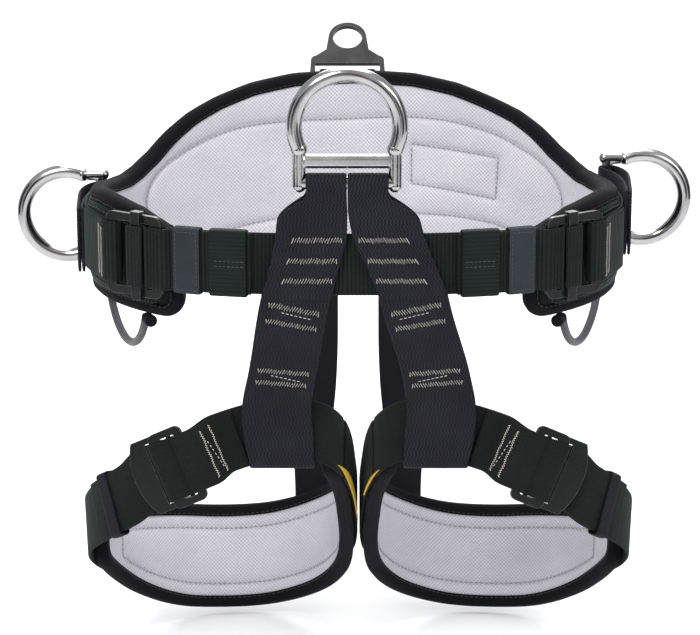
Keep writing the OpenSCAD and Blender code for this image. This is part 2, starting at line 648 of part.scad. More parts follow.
gear_loop(-1);  // gear_loop_right
gear_loop_tabs(1);  // gear_loop_tabs_left
gear_loop_tabs(-1);  // gear_loop_tabs_right
riser_yoke(1);  // riser_yoke_left
riser_yoke(-1);  // riser_yoke_right
riser(1);  // riser_left
riser(-1);  // riser_right
rear_strap(1);  // rear_strap_left
rear_strap(-1);  // rear_strap_right
leg_pad_lining(1);  // leg_pad_lining_left
leg_pad_lining(-1);  // leg_pad_lining_right
leg_pad_foam(1);  // leg_pad_foam_left
leg_pad_foam(-1);  // leg_pad_foam_right
leg_pad_shell(1);  // leg_pad_shell_left
leg_pad_shell(-1);  // leg_pad_shell_right
leg_pad_binding(1);  // leg_pad_binding_left
leg_pad_binding(-1);  // leg_pad_binding_right
leg_webbing(1);  // leg_webbing_left
leg_webbing(-1);  // leg_webbing_right
leg_strap(1);  // leg_strap_left
leg_strap(-1);  // leg_strap_right
leg_buckle(1);  // leg_buckle_left
leg_buckle(-1);  // leg_buckle_right
leg_hook_plate(1);  // leg_hook_plate_left
leg_hook_plate(-1);  // leg_hook_plate_right
leg_slider(1);  // leg_slider_left
leg_slider(-1);  // leg_slider_right
leg_keeper(1);  // leg_keeper_left
leg_keeper(-1);  // leg_keeper_right
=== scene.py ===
"""Looks of the tree climbing saddle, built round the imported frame.

Sizes here are in millimetres and become metres when a mesh is made.
"""
import json
import math

import bmesh
import bpy
import numpy as np
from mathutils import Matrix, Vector


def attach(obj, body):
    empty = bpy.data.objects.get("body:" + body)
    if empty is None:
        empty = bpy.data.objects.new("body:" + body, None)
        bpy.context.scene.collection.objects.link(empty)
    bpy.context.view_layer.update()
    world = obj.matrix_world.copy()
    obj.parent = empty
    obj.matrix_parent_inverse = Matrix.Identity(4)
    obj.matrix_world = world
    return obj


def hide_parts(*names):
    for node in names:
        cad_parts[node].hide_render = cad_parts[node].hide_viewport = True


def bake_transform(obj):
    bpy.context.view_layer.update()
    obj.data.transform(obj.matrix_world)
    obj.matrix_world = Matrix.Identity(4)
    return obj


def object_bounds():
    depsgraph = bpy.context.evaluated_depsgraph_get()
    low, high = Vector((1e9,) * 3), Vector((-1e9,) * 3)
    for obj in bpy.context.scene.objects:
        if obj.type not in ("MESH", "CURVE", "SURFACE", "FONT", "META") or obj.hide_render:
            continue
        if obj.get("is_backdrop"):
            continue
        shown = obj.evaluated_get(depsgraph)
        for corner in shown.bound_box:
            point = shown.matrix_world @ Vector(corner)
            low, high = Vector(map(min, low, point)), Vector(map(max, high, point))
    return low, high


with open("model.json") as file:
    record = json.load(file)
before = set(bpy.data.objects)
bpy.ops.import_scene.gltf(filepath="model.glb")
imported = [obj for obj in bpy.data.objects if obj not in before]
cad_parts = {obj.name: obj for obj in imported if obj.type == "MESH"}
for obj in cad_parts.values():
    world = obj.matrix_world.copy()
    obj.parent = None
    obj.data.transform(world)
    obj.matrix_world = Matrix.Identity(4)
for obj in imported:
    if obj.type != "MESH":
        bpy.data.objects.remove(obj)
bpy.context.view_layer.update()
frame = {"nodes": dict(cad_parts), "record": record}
NODES = frame["nodes"]
SIDES = {"left": 1, "right": -1}
MM = 0.001

# --- driving sizes, as in the part ---

WAIST_W, WAIST_D, WAIST_POWER = 380.0, 230.0, 0.8
PAD_HALF = 6.0
PAD_END, BUCKLE_ANGLE, SIDE_RING_ANGLE = 35.0, 48.0, 112.0
FRONT_RISE, BACK_RISE = 22.0, 98.0
PANEL_OFF, BELT_OFF = 6.3, 8.4
WEB_T, PLY, HALF_WEB = 2.4, 2.7, 22.5
RING_SHIFT, LEG_SHIFT = -5.0, 3.5
RING_Y, RING_Z = -125.6, 59.0
TAPE_W = 9.5
RIB_PITCH = 3.0
ON_WEB, NEAR_WEB = WEB_T / 2 + 0.1, WEB_T / 2 + 0.15
SIDEWAYS, UP = np.array([1.0, 0.0, 0.0]), np.array([0.0, 0.0, 1.0])


# --- small mathematics ---

def ease(f):
    g = np.clip(f, 0.0, 1.0)
    return g * g * (3 - 2 * g)


def mix(a, b, f):
    return a + (b - a) * f


def unit(v):
    return v / np.linalg.norm(v, axis=-1, keepdims=True)


def lengths(p):
    """Distance along a line at each of its points."""
    return np.concatenate([[0], np.cumsum(np.linalg.norm(np.diff(p, axis=0), axis=1))])


def sampled(x, t, p):
    """The rows p, known at t, read at x."""
    return np.stack([np.interp(x, t, column) for column in np.transpose(p)], -1)


def arc(across, up, r, start, end, count=9):
    """Points of an arc in a plane, between two angles in degrees."""
    return [(across + r * math.cos(q), up + r * math.sin(q)) for q in np.radians(np.linspace(start, end, count))]


def beside(origin, along, out, pairs):
    """Places near a point, from (along, outward) pairs."""
    return [origin + along * s + out * n for s, n in pairs]


def table(x, pairs):
    xs, ys = zip(*pairs)
    return np.interp(x, xs, ys)


def corner_cut(d, r):
    """How far a round corner cuts in, at a distance from the end."""
    e = np.clip(r - np.asarray(d, float), 0.0, r)
    return r - np.sqrt(r * r - e * e)


def spline(points, t):
    """A closed curve through the points, at places t counted in points."""
    p = np.asarray(points, float)
    i = np.floor(t).astype(int)
    f = (t - i)[:, None]
    a, b, c, d = (p[(i + k) % len(p)] for k in (-1, 0, 1, 2))
    return 0.5 * (2 * b + (c - a) * f + (2 * a - 5 * b + 4 * c - d) * f**2 + (3 * b - a - 3 * c + d) * f**3)


def smooth_path(rows, step):
    """Rows of numbers, the first three a place, made into a smooth line with even steps."""
    p = np.asarray(rows, float)
    h = np.maximum(np.linalg.norm(np.diff(p[:, :3], axis=0), axis=1), 1e-6)
    t = np.concatenate([[0], np.cumsum(h)])
    slope = np.diff(p, axis=0) / h[:, None]
    m = np.empty_like(p)
    m[0], m[-1] = slope[0], slope[-1]
    m[1:-1] = (slope[:-1] * h[1:, None] + slope[1:] * h[:-1, None]) / (h[:-1] + h[1:])[:, None]
    x = np.linspace(0, t[-1], max(3, int(round(t[-1] / step)) + 1))
    i = np.clip(np.searchsorted(t, x, side="right") - 1, 0, len(h) - 1)
    f, w = ((x - t[i]) / h[i])[:, None], h[i][:, None]
    return ((1 + 2 * f) * (1 - f) ** 2 * p[i] + f * (1 - f) ** 2 * w * m[i]
            + f * f * (3 - 2 * f) * p[i + 1] + f * f * (f - 1) * w * m[i + 1])


class Sheet:
    """A curved strip unrolled: s runs along it, h across it and off outward, in mm."""

    def __init__(self, place, up, out, half=HALF_WEB):
        self.place, self.up, self.out = place, up, out
        self.s = lengths(place)
        self.half = np.broadcast_to(np.asarray(half, float), (len(place),))

    def at(self, s, h, off):
        s, h, off = np.broadcast_arrays(np.asarray(s, float), h, off)
        p, up, out = (sampled(s, self.s, a) for a in (self.place, self.up, self.out))
        return p + up * h[..., None] + out * off[..., None]

    def half_at(self, s):
        return np.interp(s, self.s, self.half)


def strip(points, ups, half=HALF_WEB, step=2.5):
    """A strip of webbing along points, with its width along ups."""
    p = np.asarray(points, float)
    u = np.broadcast_to(np.asarray(ups, float), p.shape)
    h = np.broadcast_to(np.asarray(half, float), (len(p),))[:, None]
    path = smooth_path(np.hstack([p, u, h]), step)
    place, up = path[:, :3], unit(path[:, 3:6])
    out = unit(np.cross(np.gradient(place, axis=0), up))
    return Sheet(place, up, out, path[:, 6])


# --- the waist's surface ---

def rounded(v):
    return np.sign(v) * np.abs(v) ** WAIST_POWER


def waist_line(a):
    r = np.radians(a)
    return np.stack([WAIST_W / 2 * rounded(np.sin(r)), -WAIST_D / 2 * rounded(np.cos(r)), 0 * r], -1)


def waist_axes(a):
    """The directions along and out of the waist's line at an angle."""
    along = unit(waist_line(a + 0.5) - waist_line(a - 0.5))
    return along, np.stack([along[..., 1], -along[..., 0], 0 * along[..., 0]], -1)


ANGLES = np.linspace(0, 360, 1441)
WAIST = Sheet(waist_line(ANGLES), np.tile(UP, (len(ANGLES), 1)), waist_axes(ANGLES)[1])


def to_s(angle):
    return np.interp(angle, ANGLES, WAIST.s)


def to_angle(s):
    return np.interp(s, WAIST.s, ANGLES)


def waist(angle, off):
    return WAIST.at(to_s(angle), 0.0, off)


def pad_top(s):
    a = to_angle(s)
    b = np.minimum(a, 360 - a)
    rise = BACK_RISE - FRONT_RISE
    steps = [(40, 0), (50, 10), (60, 14), (70, 16), (85, 12), (105, 5), (114, 5)]
    shares = [(120, 0.12), (127, 0.24), (134, 0.42), (142, 0.6), (150, 0.74), (160, 0.88), (170, 0.97), (180, 1)]
    hump = table(a, [(95, 0), (108, 3), (122, 5), (136, 3), (150, 0)]) * (a < 180)
    return FRONT_RISE + table(b, steps + [(x, y * rise) for x, y in shares]) + hump


def pad_low(s):
    return -41 - 9 * np.cos(np.radians(to_angle(s))) ** 2


# --- a leg loop's surface ---

LEG_LINE = [
    [50, -91.5, -128, 0.15, 0.05, 1], [22, -86, -144, 0, 0.4, 0.9], [11, -32, -189, 0, 0.7, 0.7],
    [14.2, 28, -249, 0, 0.55, 0.83], [62, 62, -282, 0, 0.35, 0.94], [128, 57, -284, 0, 0.3, 0.95],
    [181, 20, -263, 0.05, 0.5, 0.86], [199, -30, -228, 0.1, 0.6, 0.8], [167, -72, -189, 0.3, 0.35, 0.88],
    [106, -88, -145, 0.4, 0.12, 0.9],
]
LEG_T = np.linspace(0.5, 11.5, 1101)


def leg_frame(t):
    """Place, up and outward directions at places t round the leg loop."""
    here, ahead, behind = (spline(LEG_LINE, t + d) for d in (0.0, 0.02, -0.02))
    up = unit(here[:, 3:])
    out = unit(np.cross(up, unit(ahead[:, :3] - behind[:, :3])))
    return here[:, :3], up, out


LEG = Sheet(*leg_frame(LEG_T))
LEG_PAD_FROM, LEG_PAD_TO, LEG_PAD_HALF_T, LEG_PAD_H = 0.78, 6.75, 5.0, 82.0
LEG_OFF = LEG_PAD_HALF_T + 0.9 + WEB_T / 2


def leg_s(t):
    return np.interp(t, LEG_T, LEG.s)


def leg_half(s):
    t = np.interp(s, LEG.s, LEG_T)
    return mix(24, LEG_PAD_H / 2, ease((t - 1) / 2.6)) - 20 * ease((t - 5) / 2.2)


def leg_axes(t):
    """Place, and the directions along, up and out, at one place t round the leg loop."""
    place, up, out = (a[0] for a in leg_frame(np.array([t])))
    return place, np.cross(out, up), up, out


LEG_BUCKLE_T, LEG_KEEPER_T, LEG_BUCKLE_RISE = 8.58, 7.78, 6
LB_PLACE, LB_ALONG, LB_UP, LB_OUT = leg_axes(LEG_BUCKLE_T)


def at_leg_buckle(pairs):
    """Places near the left leg adjuster, from (along, outward) pairs."""
    return beside(LB_PLACE + LB_OUT * (LEG_OFF + LEG_BUCKLE_RISE), LB_ALONG, LB_OUT, pairs)


def leg_points(ts, off):
    place, up, out = leg_frame(np.asarray(ts, float))
    return np.hstack([place + out * off, up])


# --- materials ---

class Graph:
    """A material and short calls for its nodes."""

    def __init__(self, name, colour, rough, **settings):
        self.material = bpy.data.materials.new(name)
        self.material.use_nodes = True
        self.tree = self.material.node_tree
        self.shader = self.tree.nodes["Principled BSDF"]
        self.set("Base Color", (*colour, 1.0))
        self.set("Roughness", rough)
        for key, value in settings.items():
            self.set(key.replace("_", " "), value)

    def set(self, socket, value):
        self.shader.inputs[socket].default_value = value

    def link(self, output, socket):
        self.tree.links.new(output, self.shader.inputs[socket])

    def node(self, kind, inputs=(), **attributes):
        made = self.tree.nodes.new("ShaderNode" + kind)
        for key, value in attributes.items():
            setattr(made, key, value)
        for key, value in dict(inputs).items():
            if isinstance(value, bpy.types.NodeSocket):
                self.tree.links.new(value, made.inputs[key])
            else:
                made.inputs[key].default_value = value
        return made

    def math(self, operation, a, b=0.0):
        return self.node("Math", {0: a, 1: b}, operation=operation).outputs[0]

    def times(self, a, b):
        return self.math("MULTIPLY", a, b)

    def plus(self, a, b):
        return self.math("ADD", a, b)

    def spread(self, value, low, high, start, end):
        """A value taken from the range low to high into the range start to end."""
        return self.node("MapRange", {0: value, 1: low, 2: high, 3: start, 4: end}).outputs[0]

    def uv(self):
        """Along and across the cloth, in millimetres."""
        split = self.node("SeparateXYZ", {0: self.node("UVMap").outputs[0]})
        return (self.times(split.outputs[i], 1000.0) for i in (0, 1))

    def wave(self, value, pitch):
        return self.math("SINE", self.times(value, 2 * math.pi / pitch))

    def noise(self, scale, detail=3.0, vector=None):
        place = vector or self.node("TexCoord").outputs["Object"]
        return self.node("TexNoise", {"Vector": place, "Scale": scale, "Detail": detail}).outputs["Fac"]

    def blend(self, factor, a, b, low=0.3, high=0.7):
        """A colour between a and b, as factor goes from low to high."""
        ends = [c if isinstance(c, bpy.types.NodeSocket) else (*c, 1.0) for c in (a, b)]
        inputs = {0: self.spread(factor, low, high, 0.0, 1.0), 6: ends[0], 7: ends[1]}
        return self.node("Mix", inputs, data_type="RGBA").outputs[2]

    def bump(self, height, distance, strength=1.0, **under):
        return self.node("Bump", {"Height": height, "Distance": distance, "Strength": strength, **under}).outputs[0]


def scaled(colour, k):
    return tuple(min(1.0, c * k) for c in colour)


def weave_height(g, kind, u, v):
    """Height of the threads: 0 is the lowest and 1 the highest. Pitches are in millimetres."""
    if kind == "rib":
        return g.plus(g.times(g.math("ABSOLUTE", g.wave(u, 6.0)), 0.75), g.times(g.wave(v, 1.1), 0.2))
    if kind == "dots":
        step = g.times(g.math("PINGPONG", u, 4.2), 0.5)
        cells = g.times(g.wave(u, 3.4), g.wave(g.plus(v, step), 2.5))
    elif kind == "chevron":
        slant = g.plus(u, g.times(g.math("PINGPONG", v, 3.0), 0.6))
        cells = g.times(g.wave(slant, 2.0), g.wave(v, 1.5))
    else:
        pitch = 3.0 if kind == "mesh" else 1.3
        cells = g.times(g.wave(u, pitch), g.wave(v, pitch))
    return g.plus(g.times(cells, 0.5), 0.5)


def fabric(name, colour, kind, rough=0.8, depth=0.0003, hollow_shade=0.55, sheen=0.05, tint=None, mottle=0.18):
    """Woven cloth: threads in relief with painted shade between them, darker where they dip, and slow random changes
    of tone.
    """
    g = Graph(name, colour, rough, Sheen_Weight=sheen, Sheen_Roughness=0.5, Specular_IOR_Level=0.12)
    if tint:
        g.set("Sheen Tint", (*tint, 1.0))
    u, v = g.uv()
    height = weave_height(g, kind, u, v)
    slow = g.noise(28.0, 4.0)
    light, dark = (g.blend(slow, scaled(colour, k * (1 - mottle)), scaled(colour, k * (1 + mottle)))
                   for k in (1, hollow_shade))
    # painted shade: the colour darkens where the threads dip
    g.link(g.blend(height, dark, light, 0.1, 0.75), "Base Color")
    fuzz = g.bump(g.noise(900.0, 2.0), 0.0002, 0.35)
    g.link(g.bump(height, depth, Normal=fuzz), "Normal")
    g.link(g.spread(height, 0.0, 1.0, min(1.0, rough + 0.12), rough - 0.08), "Roughness")
    return g.material


def thread(name, colour):
    g = Graph(name, colour, 0.6, Sheen_Weight=0.3)
    g.link(g.blend(g.noise(700.0), scaled(colour, 0.7), scaled(colour, 1.15)), "Base Color")
    g.link(g.bump(g.noise(1500.0), 0.0002, 0.5), "Normal")
    return g.material


def edge_mask(g, radius):
    """Near 1 on sharp edges and 0 on flat faces."""
    soft = g.node("Bevel", {"Radius": radius}, samples=4).outputs[0]
    sharp = g.node("NewGeometry").outputs["Normal"]
    dot = g.node("VectorMath", {0: soft, 1: sharp}, operation="DOT_PRODUCT").outputs["Value"]
    return g.math("SUBTRACT", 1.0, dot)


def forged_metal():
    """Polished light alloy with faint draw marks and hand wear."""
    g = Graph("forged_ring", (0.42, 0.417, 0.414), 0.17, Metallic=1.0, Specular_IOR_Level=0.5)
    smudge, fine = g.noise(45.0, 5.0), g.noise(420.0, 2.0)
    g.link(g.blend(smudge, (0.36, 0.357, 0.354), (0.48, 0.475, 0.47)), "Base Color")
    g.link(g.spread(smudge, 0.3, 0.7, 0.1, 0.26), "Roughness")
    g.link(g.bump(fine, 0.00012, 0.3), "Normal")
    return g.material


def black_steel(name, colour, rough):
    """Coated steel: a fine orange peel, and a lighter colour along the edges, partly the coat worn thin and partly a
    painted highlight.
    """
    g = Graph(name, colour, rough, Metallic=0.0, Coat_Weight=0.06, Coat_Roughness=0.2, Specular_IOR_Level=0.22)
    # lighter colour on sharp edges: partly worn coat, partly a painted highlight
    edge_wear_and_highlight = g.times(edge_mask(g, 0.0011), g.noise(160.0, 4.0))
    g.link(g.blend(edge_wear_and_highlight, colour, (0.16, 0.17, 0.17), 0.08, 0.26), "Base Color")
    g.link(g.spread(g.noise(90.0, 6.0), 0.35, 0.7, rough - 0.08, rough + 0.14), "Roughness")
    g.link(g.bump(g.noise(800.0), 0.00015, 0.3), "Normal")
    return g.material


def cord_cover():
    """The grey sheath of a gear loop, with a fine braid."""
    g = Graph("gear_tube", (0.075, 0.073, 0.08), 0.5, Sheen_Weight=0.05, Specular_IOR_Level=0.3)
    place = g.node("TexCoord").outputs["Object"]
    cells = g.node("TexVoronoi", {"Vector": place, "Scale": 900.0}).outputs["Distance"]
    g.link(g.blend(cells, (0.1, 0.098, 0.105), (0.045, 0.044, 0.05), 0.1, 0.8), "Base Color")
    g.link(g.bump(cells, 0.0003, 0.7), "Normal")
    return g.material


LINING = fabric("lining", (0.60, 0.58, 0.625), "mesh", 0.9, 0.00035, 0.72, 0.15, (0.95, 0.93, 1.0), 0.05)
SHELL = fabric("shell", (0.011, 0.012, 0.014), "plain", 0.75, 0.0002)
LEG_SHELL = fabric("leg_shell", (0.012, 0.012, 0.014), "plain", 0.75, 0.0002)
PIPING = fabric("piping", (0.62, 0.38, 0.02), "plain", 0.6, 0.0002, 0.7)
HIP = fabric("hip_fabric", (0.0065, 0.0115, 0.010), "rib", 0.62, 0.0004, 0.5, 0.06, (0.5, 0.75, 0.68))
BINDING = fabric("binding", (0.005, 0.005, 0.007), "plain", 0.85, 0.00025, 0.6, 0.04, (0.5, 0.5, 0.65))
BELT = fabric("webbing", (0.0070, 0.0108, 0.0095), "rib", 0.65, 0.0006, 0.4, 0.05, (0.5, 0.72, 0.66))
STRAP = fabric("strap_webbing", (0.0080, 0.0098, 0.0092), "chevron", 0.72, 0.0004, 0.4, 0.05, (0.6, 0.7, 0.68))
RISER = fabric("riser_webbing", (0.015, 0.015, 0.021), "dots", 0.75, 0.0004, 0.2, 0.05, (0.5, 0.5, 0.68))
REAR = fabric("rear_fabric", (0.007, 0.007, 0.011), "plain", 0.75, 0.0002)
ELASTIC = fabric("keeper", (0.026, 0.033, 0.039), "plain", 0.7, 0.0003, 0.6, 0.08, (0.7, 0.8, 0.8))
PALE = thread("pale_thread", (0.6, 0.56, 0.49))
GREY = thread("lining_thread", (0.3, 0.28, 0.31))
DARK = thread("dark_thread", (0.016, 0.019, 0.019))
BLACK = thread("black_thread", (0.005, 0.005, 0.006))
FORGED = forged_metal()
STEEL = black_steel("black_steel", (0.005, 0.0065, 0.006), 0.32)
PLATE_STEEL = black_steel("plate_steel", (0.005, 0.005, 0.006), 0.42)
SLEEVE = cord_cover()
LOOKS = {
    "lining": LINING, "shell": SHELL, "leg_shell": LEG_SHELL, "hip_fabric": HIP, "binding": BINDING,
    "webbing": BELT, "riser_webbing": RISER, "keeper": ELASTIC, "forged_ring": FORGED,
    "black_steel": STEEL, "gear_tube": SLEEVE,
}


# --- making pieces ---

def placed(name, data):
    """An object in the scene, from its mesh, light or camera."""
    made = bpy.data.objects.new(name, data)
    bpy.context.scene.collection.objects.link(made)
    return made


def bevelled(made):
    bevel = made.modifiers.new("Bevel", "BEVEL")
    bevel.width, bevel.segments, bevel.limit_method = 0.0005, 3, "ANGLE"
    return bevel


def both(body, shift=0.0):
    """For each side its name, its sign, and what its pieces say of body, mirroring and shift."""
    return [(name, side, {"ride": body.format(name), "mirror": side < 0, "shift": shift})
            for name, side in SIDES.items()]


def sewn(name, suffix="_stitches"):
    """The name of what is sewn to a piece: the suffix goes before the side."""
    kind, dot, side = name.partition(".")
    return kind + suffix + dot + side


def piece(name, verts, faces, uvs, material, slot, ride=None, blend=None, replaces=(), mirror=False,
          shift=0.0, smooth=True):
    """A mesh from places in mm. It rides on one body; with blend, whose bodies and places are not used, it is baked
    where it stands and rides on none.

    replaces names the CAD nodes that it stands for; True is the node of the same name.
    """
    co = np.array(verts, float)
    if mirror:
        co[:, 0] *= -1
    co[:, 0] += shift
    mesh = bpy.data.meshes.new(name)
    mesh.from_pydata((co * MM).tolist(), [], [tuple(f) for f in faces])
    if uvs is not None:
        flat = np.asarray(uvs, float)[[v for f in faces for v in f]] * MM
        mesh.uv_layers.new(name="UVMap").data.foreach_set("uv", flat.ravel())
    bm = bmesh.new()
    bm.from_mesh(mesh)
    bmesh.ops.recalc_face_normals(bm, faces=bm.faces)
    bm.to_mesh(mesh)
    bm.free()
    mesh.polygons.foreach_set("use_smooth", [smooth] * len(mesh.polygons))
    mesh.materials.append(material)
    made = placed(name, mesh)
    if blend:
        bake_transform(made)
    else:
        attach(made, ride)
    if replaces is True:
        replaces = (name.replace(".", "_"),)
    if replaces:
        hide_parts(*replaces)
    return made


def grid_faces(rows, columns, start=0, closed=False):
    """Faces of a grid of points, rows by columns; closed joins the last column to the first."""
    i, j = np.meshgrid(np.arange(rows - 1), np.arange(columns if closed else columns - 1), indexing="ij")
    k = (j + 1) % columns
    quads = np.stack([i * columns + j, (i + 1) * columns + j, (i + 1) * columns + k, i * columns + k], -1)
    return (quads.reshape(-1, 4) + start).tolist()


def swept(rings, closed=False):
    """Points and faces of a tube through rings of points, capped at its ends unless closed."""
    rings = np.asarray(rings, float)
    n, k = rings.shape[:2]
    if closed:
        faces = (np.array(grid_faces(n + 1, k, closed=True)) % (n * k)).tolist()
    else:
        faces = grid_faces(n, k, closed=True) + [list(range(k)), list(range((n - 1) * k, n * k))]
    return rings.reshape(-1, 3), faces


def section_of(half, t):
    """Across a strip of webbing, from one rounded edge to the other and back."""
    cols = [(-1.0, 0.0, 0.0), (-1.0, 0.25, 0.22), (-1.0, 0.9, 0.44), (-1.0, 2.4, 0.5), (-0.5, 0.0, 0.5),
            (0.0, 0.0, 0.5), (0.5, 0.0, 0.5), (1.0, -2.4, 0.5), (1.0, -0.9, 0.44), (1.0, -0.25, 0.22), (1.0, 0.0, 0.0)]
    top = [(half * a + b, t * c) for a, b, c in cols]
    return top + [(w, -n) for w, n in reversed(top[1:-1])]


def strap(name, line, material, slot, t=WEB_T, rib=0.0, closed=False, **how):
    """Webbing along a strip, with a rounded edge, and ribs across it if rib isn't 0."""
    s = line.s[:-1] if closed else line.s
    if rib:
        s = np.arange(0, line.s[-1], RIB_PITCH / 5)
    rings, uvs = [], []
    for x in s:
        w, n = np.array(section_of(float(line.half_at(x)), t)).T
        n = n + rib * math.sin(2 * math.pi * x / RIB_PITCH) * np.sign(n) * (np.abs(n) > 0.45 * t)
        rings.append(line.at(x, w, n))
        uvs += [(x, c) for c in w + (n < 0) * 0.5]
    verts, faces = swept(rings, closed)
    return piece(name, verts, faces, uvs, material, slot, **how)


def capsule_rings(a, b, normal, radius):
    """Six-sided rings of one stitch lying from a to b."""
    axis = unit(b - a)
    side = unit(np.cross(axis, normal))
    rings = []
    for along, size in ((-0.15, 0.25), (0.12, 0.85), (0.5, 1.0), (0.88, 0.85), (1.15, 0.25)):
        centre = a + (b - a) * along
        for q in range(6):
            turn = math.pi * q / 3
            rings.append(centre + (side * math.cos(turn) + normal * math.sin(turn)) * radius * size)
    return rings


STITCH_FACES = [[r * 6 + c, r * 6 + (c + 1) % 6, r * 6 + 6 + (c + 1) % 6, r * 6 + 6 + c]
                for r in range(4) for c in range(6)] + [list(range(6)), list(range(24, 30))]


def stitches(name, lines, material, slot, length=2.6, gap=1.5, radius=0.38, **how):
    """Rows of stitches along lines; each line is (places, outward directions)."""
    verts, faces = [], []
    for line in lines:
        path = smooth_path(np.hstack(line), 0.5)
        s = lengths(path[:, :3])
        for x in np.arange(0.3, s[-1] - length, length + gap):
            a, middle, b = sampled(x + length * np.array([0.0, 0.5, 1.0]), s, path)
            faces += [[len(verts) + i for i in f] for f in STITCH_FACES]
            verts += capsule_rings(a[:3], b[:3], unit(middle[3:]), radius)
    return piece(name, verts, faces, None, material, slot, **how)


def on_sheet(sheet, line, off):
    """A line of (s, h) on a sheet, as places and outward directions."""
    p = np.asarray(line, float)
    low, high = sheet.at(p[:, 0], p[:, 1], off), sheet.at(p[:, 0], p[:, 1], off + (1.0 if off >= 0 else -1.0))
    return low, unit(high - low)


def zigzag(a, b, amplitude=1.8, pitch=1.9):
    """A bar tack from a to b in a sheet's (s, h): a dense zigzag of thread."""
    a, b = np.array(a, float), np.array(b, float)
    axis = (b - a) / np.linalg.norm(b - a)
    side = np.array([-axis[1], axis[0]])
    n = int(np.linalg.norm(b - a) / (pitch / 2))
    swing = [amplitude * (1 + 0.16 * math.sin(5.1 * i)) * (1 if i % 2 else -1) + 0.3 * math.sin(0.45 * i)
             for i in range(n + 1)]
    return [a + (b - a) * i / n + side * w for i, w in enumerate(swing)]


def tacks_at(places, low, high, *size):
    """Bar tacks straight across a sheet at some places along it."""
    return [zigzag((s, low), (s, high), *size) for s in places]


def tack_tubes(name, sheet, rows, off, material, slot, radius=0.32, **how):
    """Bar tacks as thin threads that zigzag over a sheet."""
    verts, faces = [], []
    circle = arc(0.0, 0.0, radius, 0, 360, 6)[:-1]
    for row in rows:
        places, normals = on_sheet(sheet, row, off)
        side = unit(np.cross(unit(np.gradient(places, axis=0)), normals))
        v, f = swept([beside(*axes, circle) for axes in zip(places, side, normals)])
        faces += [[len(verts) + i for i in x] for x in f]
        verts += v.tolist()
    return piece(name, verts, faces, None, material, slot, **how)


# --- pads: an inflated face with sewn seams ---

class Region:
    """Part of a sheet between two heights, with round corners."""

    def __init__(self, sheet, s0, s1, low, high, radius):
        self.sheet, self.s0, self.s1, self.low, self.high, self.radius = sheet, s0, s1, low, high, radius

    def edges(self, s, inset):
        r = max(self.radius - inset, 3.0)
        cut = corner_cut(np.minimum(s - self.s0, self.s1 - s) - inset, r)
        return self.low(s) + inset + cut, self.high(s) - inset - cut

    def margin(self, s, h, inset):
        """Distance from each point of a grid to the grid's border."""
        low, high = self.edges(s, inset)
        return np.minimum(np.minimum(h - low, high - h), np.minimum(s - s.min(), s.max() - s))

    def outline(self, step=3.0):
        """The edge as a closed line of (s, h), going forward along the top."""
        bend = self.radius * (1 - np.cos(np.radians(np.linspace(0, 90, 9))))
        middle = np.arange(self.s0 + self.radius + step, self.s1 - self.radius - step / 2, step)
        s = np.concatenate([self.s0 + bend, middle, self.s1 - bend[::-1]])
        low, high = self.edges(s, 0.0)
        line = np.vstack([np.stack([s, high], -1), np.stack([s, low], -1)[::-1]])
        line = np.vstack([line, line[:1]])
        t = lengths(line)
        return sampled(np.linspace(0, t[-1], int(t[-1] / step) + 1)[:-1], t, line)

    def inward(self, line):
        """Unit directions into the region along its outline."""
        d = np.roll(line, -1, axis=0) - np.roll(line, 1, axis=0)
        return unit(np.stack([d[:, 1], -d[:, 0]], -1))

    def grid(self, inset, step):
        n = int((self.s1 - self.s0) / step)
        s = np.linspace(self.s0 + inset, self.s1 - inset, n + 1)[:, None]
        low, high = self.edges(s, inset)
        m = int(np.max(high - low) / step)
        return np.broadcast_to(s, (n + 1, m + 1)), low + (high - low) * np.linspace(0, 1, m + 1)[None, :]


def distance_to(s, h, lines):
    """Distance from each grid point to the nearest line."""
    dots = []
    for line in lines:
        t = lengths(line)
        dots.append(sampled(np.linspace(0, t[-1], max(2, int(t[-1]))), t, line))
    dots = np.vstack(dots)
    flat = np.stack([s.ravel(), h.ravel()], -1)
    best = np.full(len(flat), 1e9)
    for i in range(0, len(flat), 4000):
        d = flat[i:i + 4000, None, :] - dots[None, :, :]
        best[i:i + 4000] = np.sqrt((d * d).sum(-1).min(-1))
    return best.reshape(s.shape)


PRESSURE, SWELL_FRAMES, SWELL_SHARE = 4.0, 20, 0.65


def inflate(sheet, s, h, off, direction, held, cap):
    """Swells a grid of cloth with a short simulation, and returns how far each point moved, in mm."""
    places = sheet.at(s, h, off) * MM
    mesh = bpy.data.meshes.new("swell")
    mesh.from_pydata(places.reshape(-1, 3).tolist(), [], grid_faces(*s.shape))
    cloth_piece = placed("swell", mesh)
    pins = cloth_piece.vertex_groups.new(name="held")
    pins.add([int(i) for i in np.flatnonzero(held.ravel())], 1.0, "REPLACE")
    cloth = cloth_piece.modifiers.new("Cloth", "CLOTH")
    for key, value in {"vertex_group_mass": "held", "use_pressure": True, "quality": 5,
                       "uniform_pressure_force": PRESSURE * direction, "tension_stiffness": 8,
                       "compression_stiffness": 8, "bending_stiffness": 0.4}.items():
        setattr(cloth.settings, key, value)
    cloth.settings.effector_weights.gravity = 0.0
    cloth.point_cache.frame_start, cloth.point_cache.frame_end = 1, SWELL_FRAMES
    for number in range(1, SWELL_FRAMES + 1):
        bpy.context.scene.frame_set(number)
    shown = cloth_piece.evaluated_get(bpy.context.evaluated_depsgraph_get())
    co = np.empty(len(mesh.vertices) * 3)
    shown.data.vertices.foreach_get("co", co)
    bpy.data.objects.remove(cloth_piece)
    bpy.context.scene.frame_set(1)
    outward = sheet.at(s, h, off + 1.0) - sheet.at(s, h, off)
    moved = ((co.reshape(s.shape + (3,)) - places) / MM * outward).sum(-1)
    return np.clip(np.abs(moved), 0.0, cap)


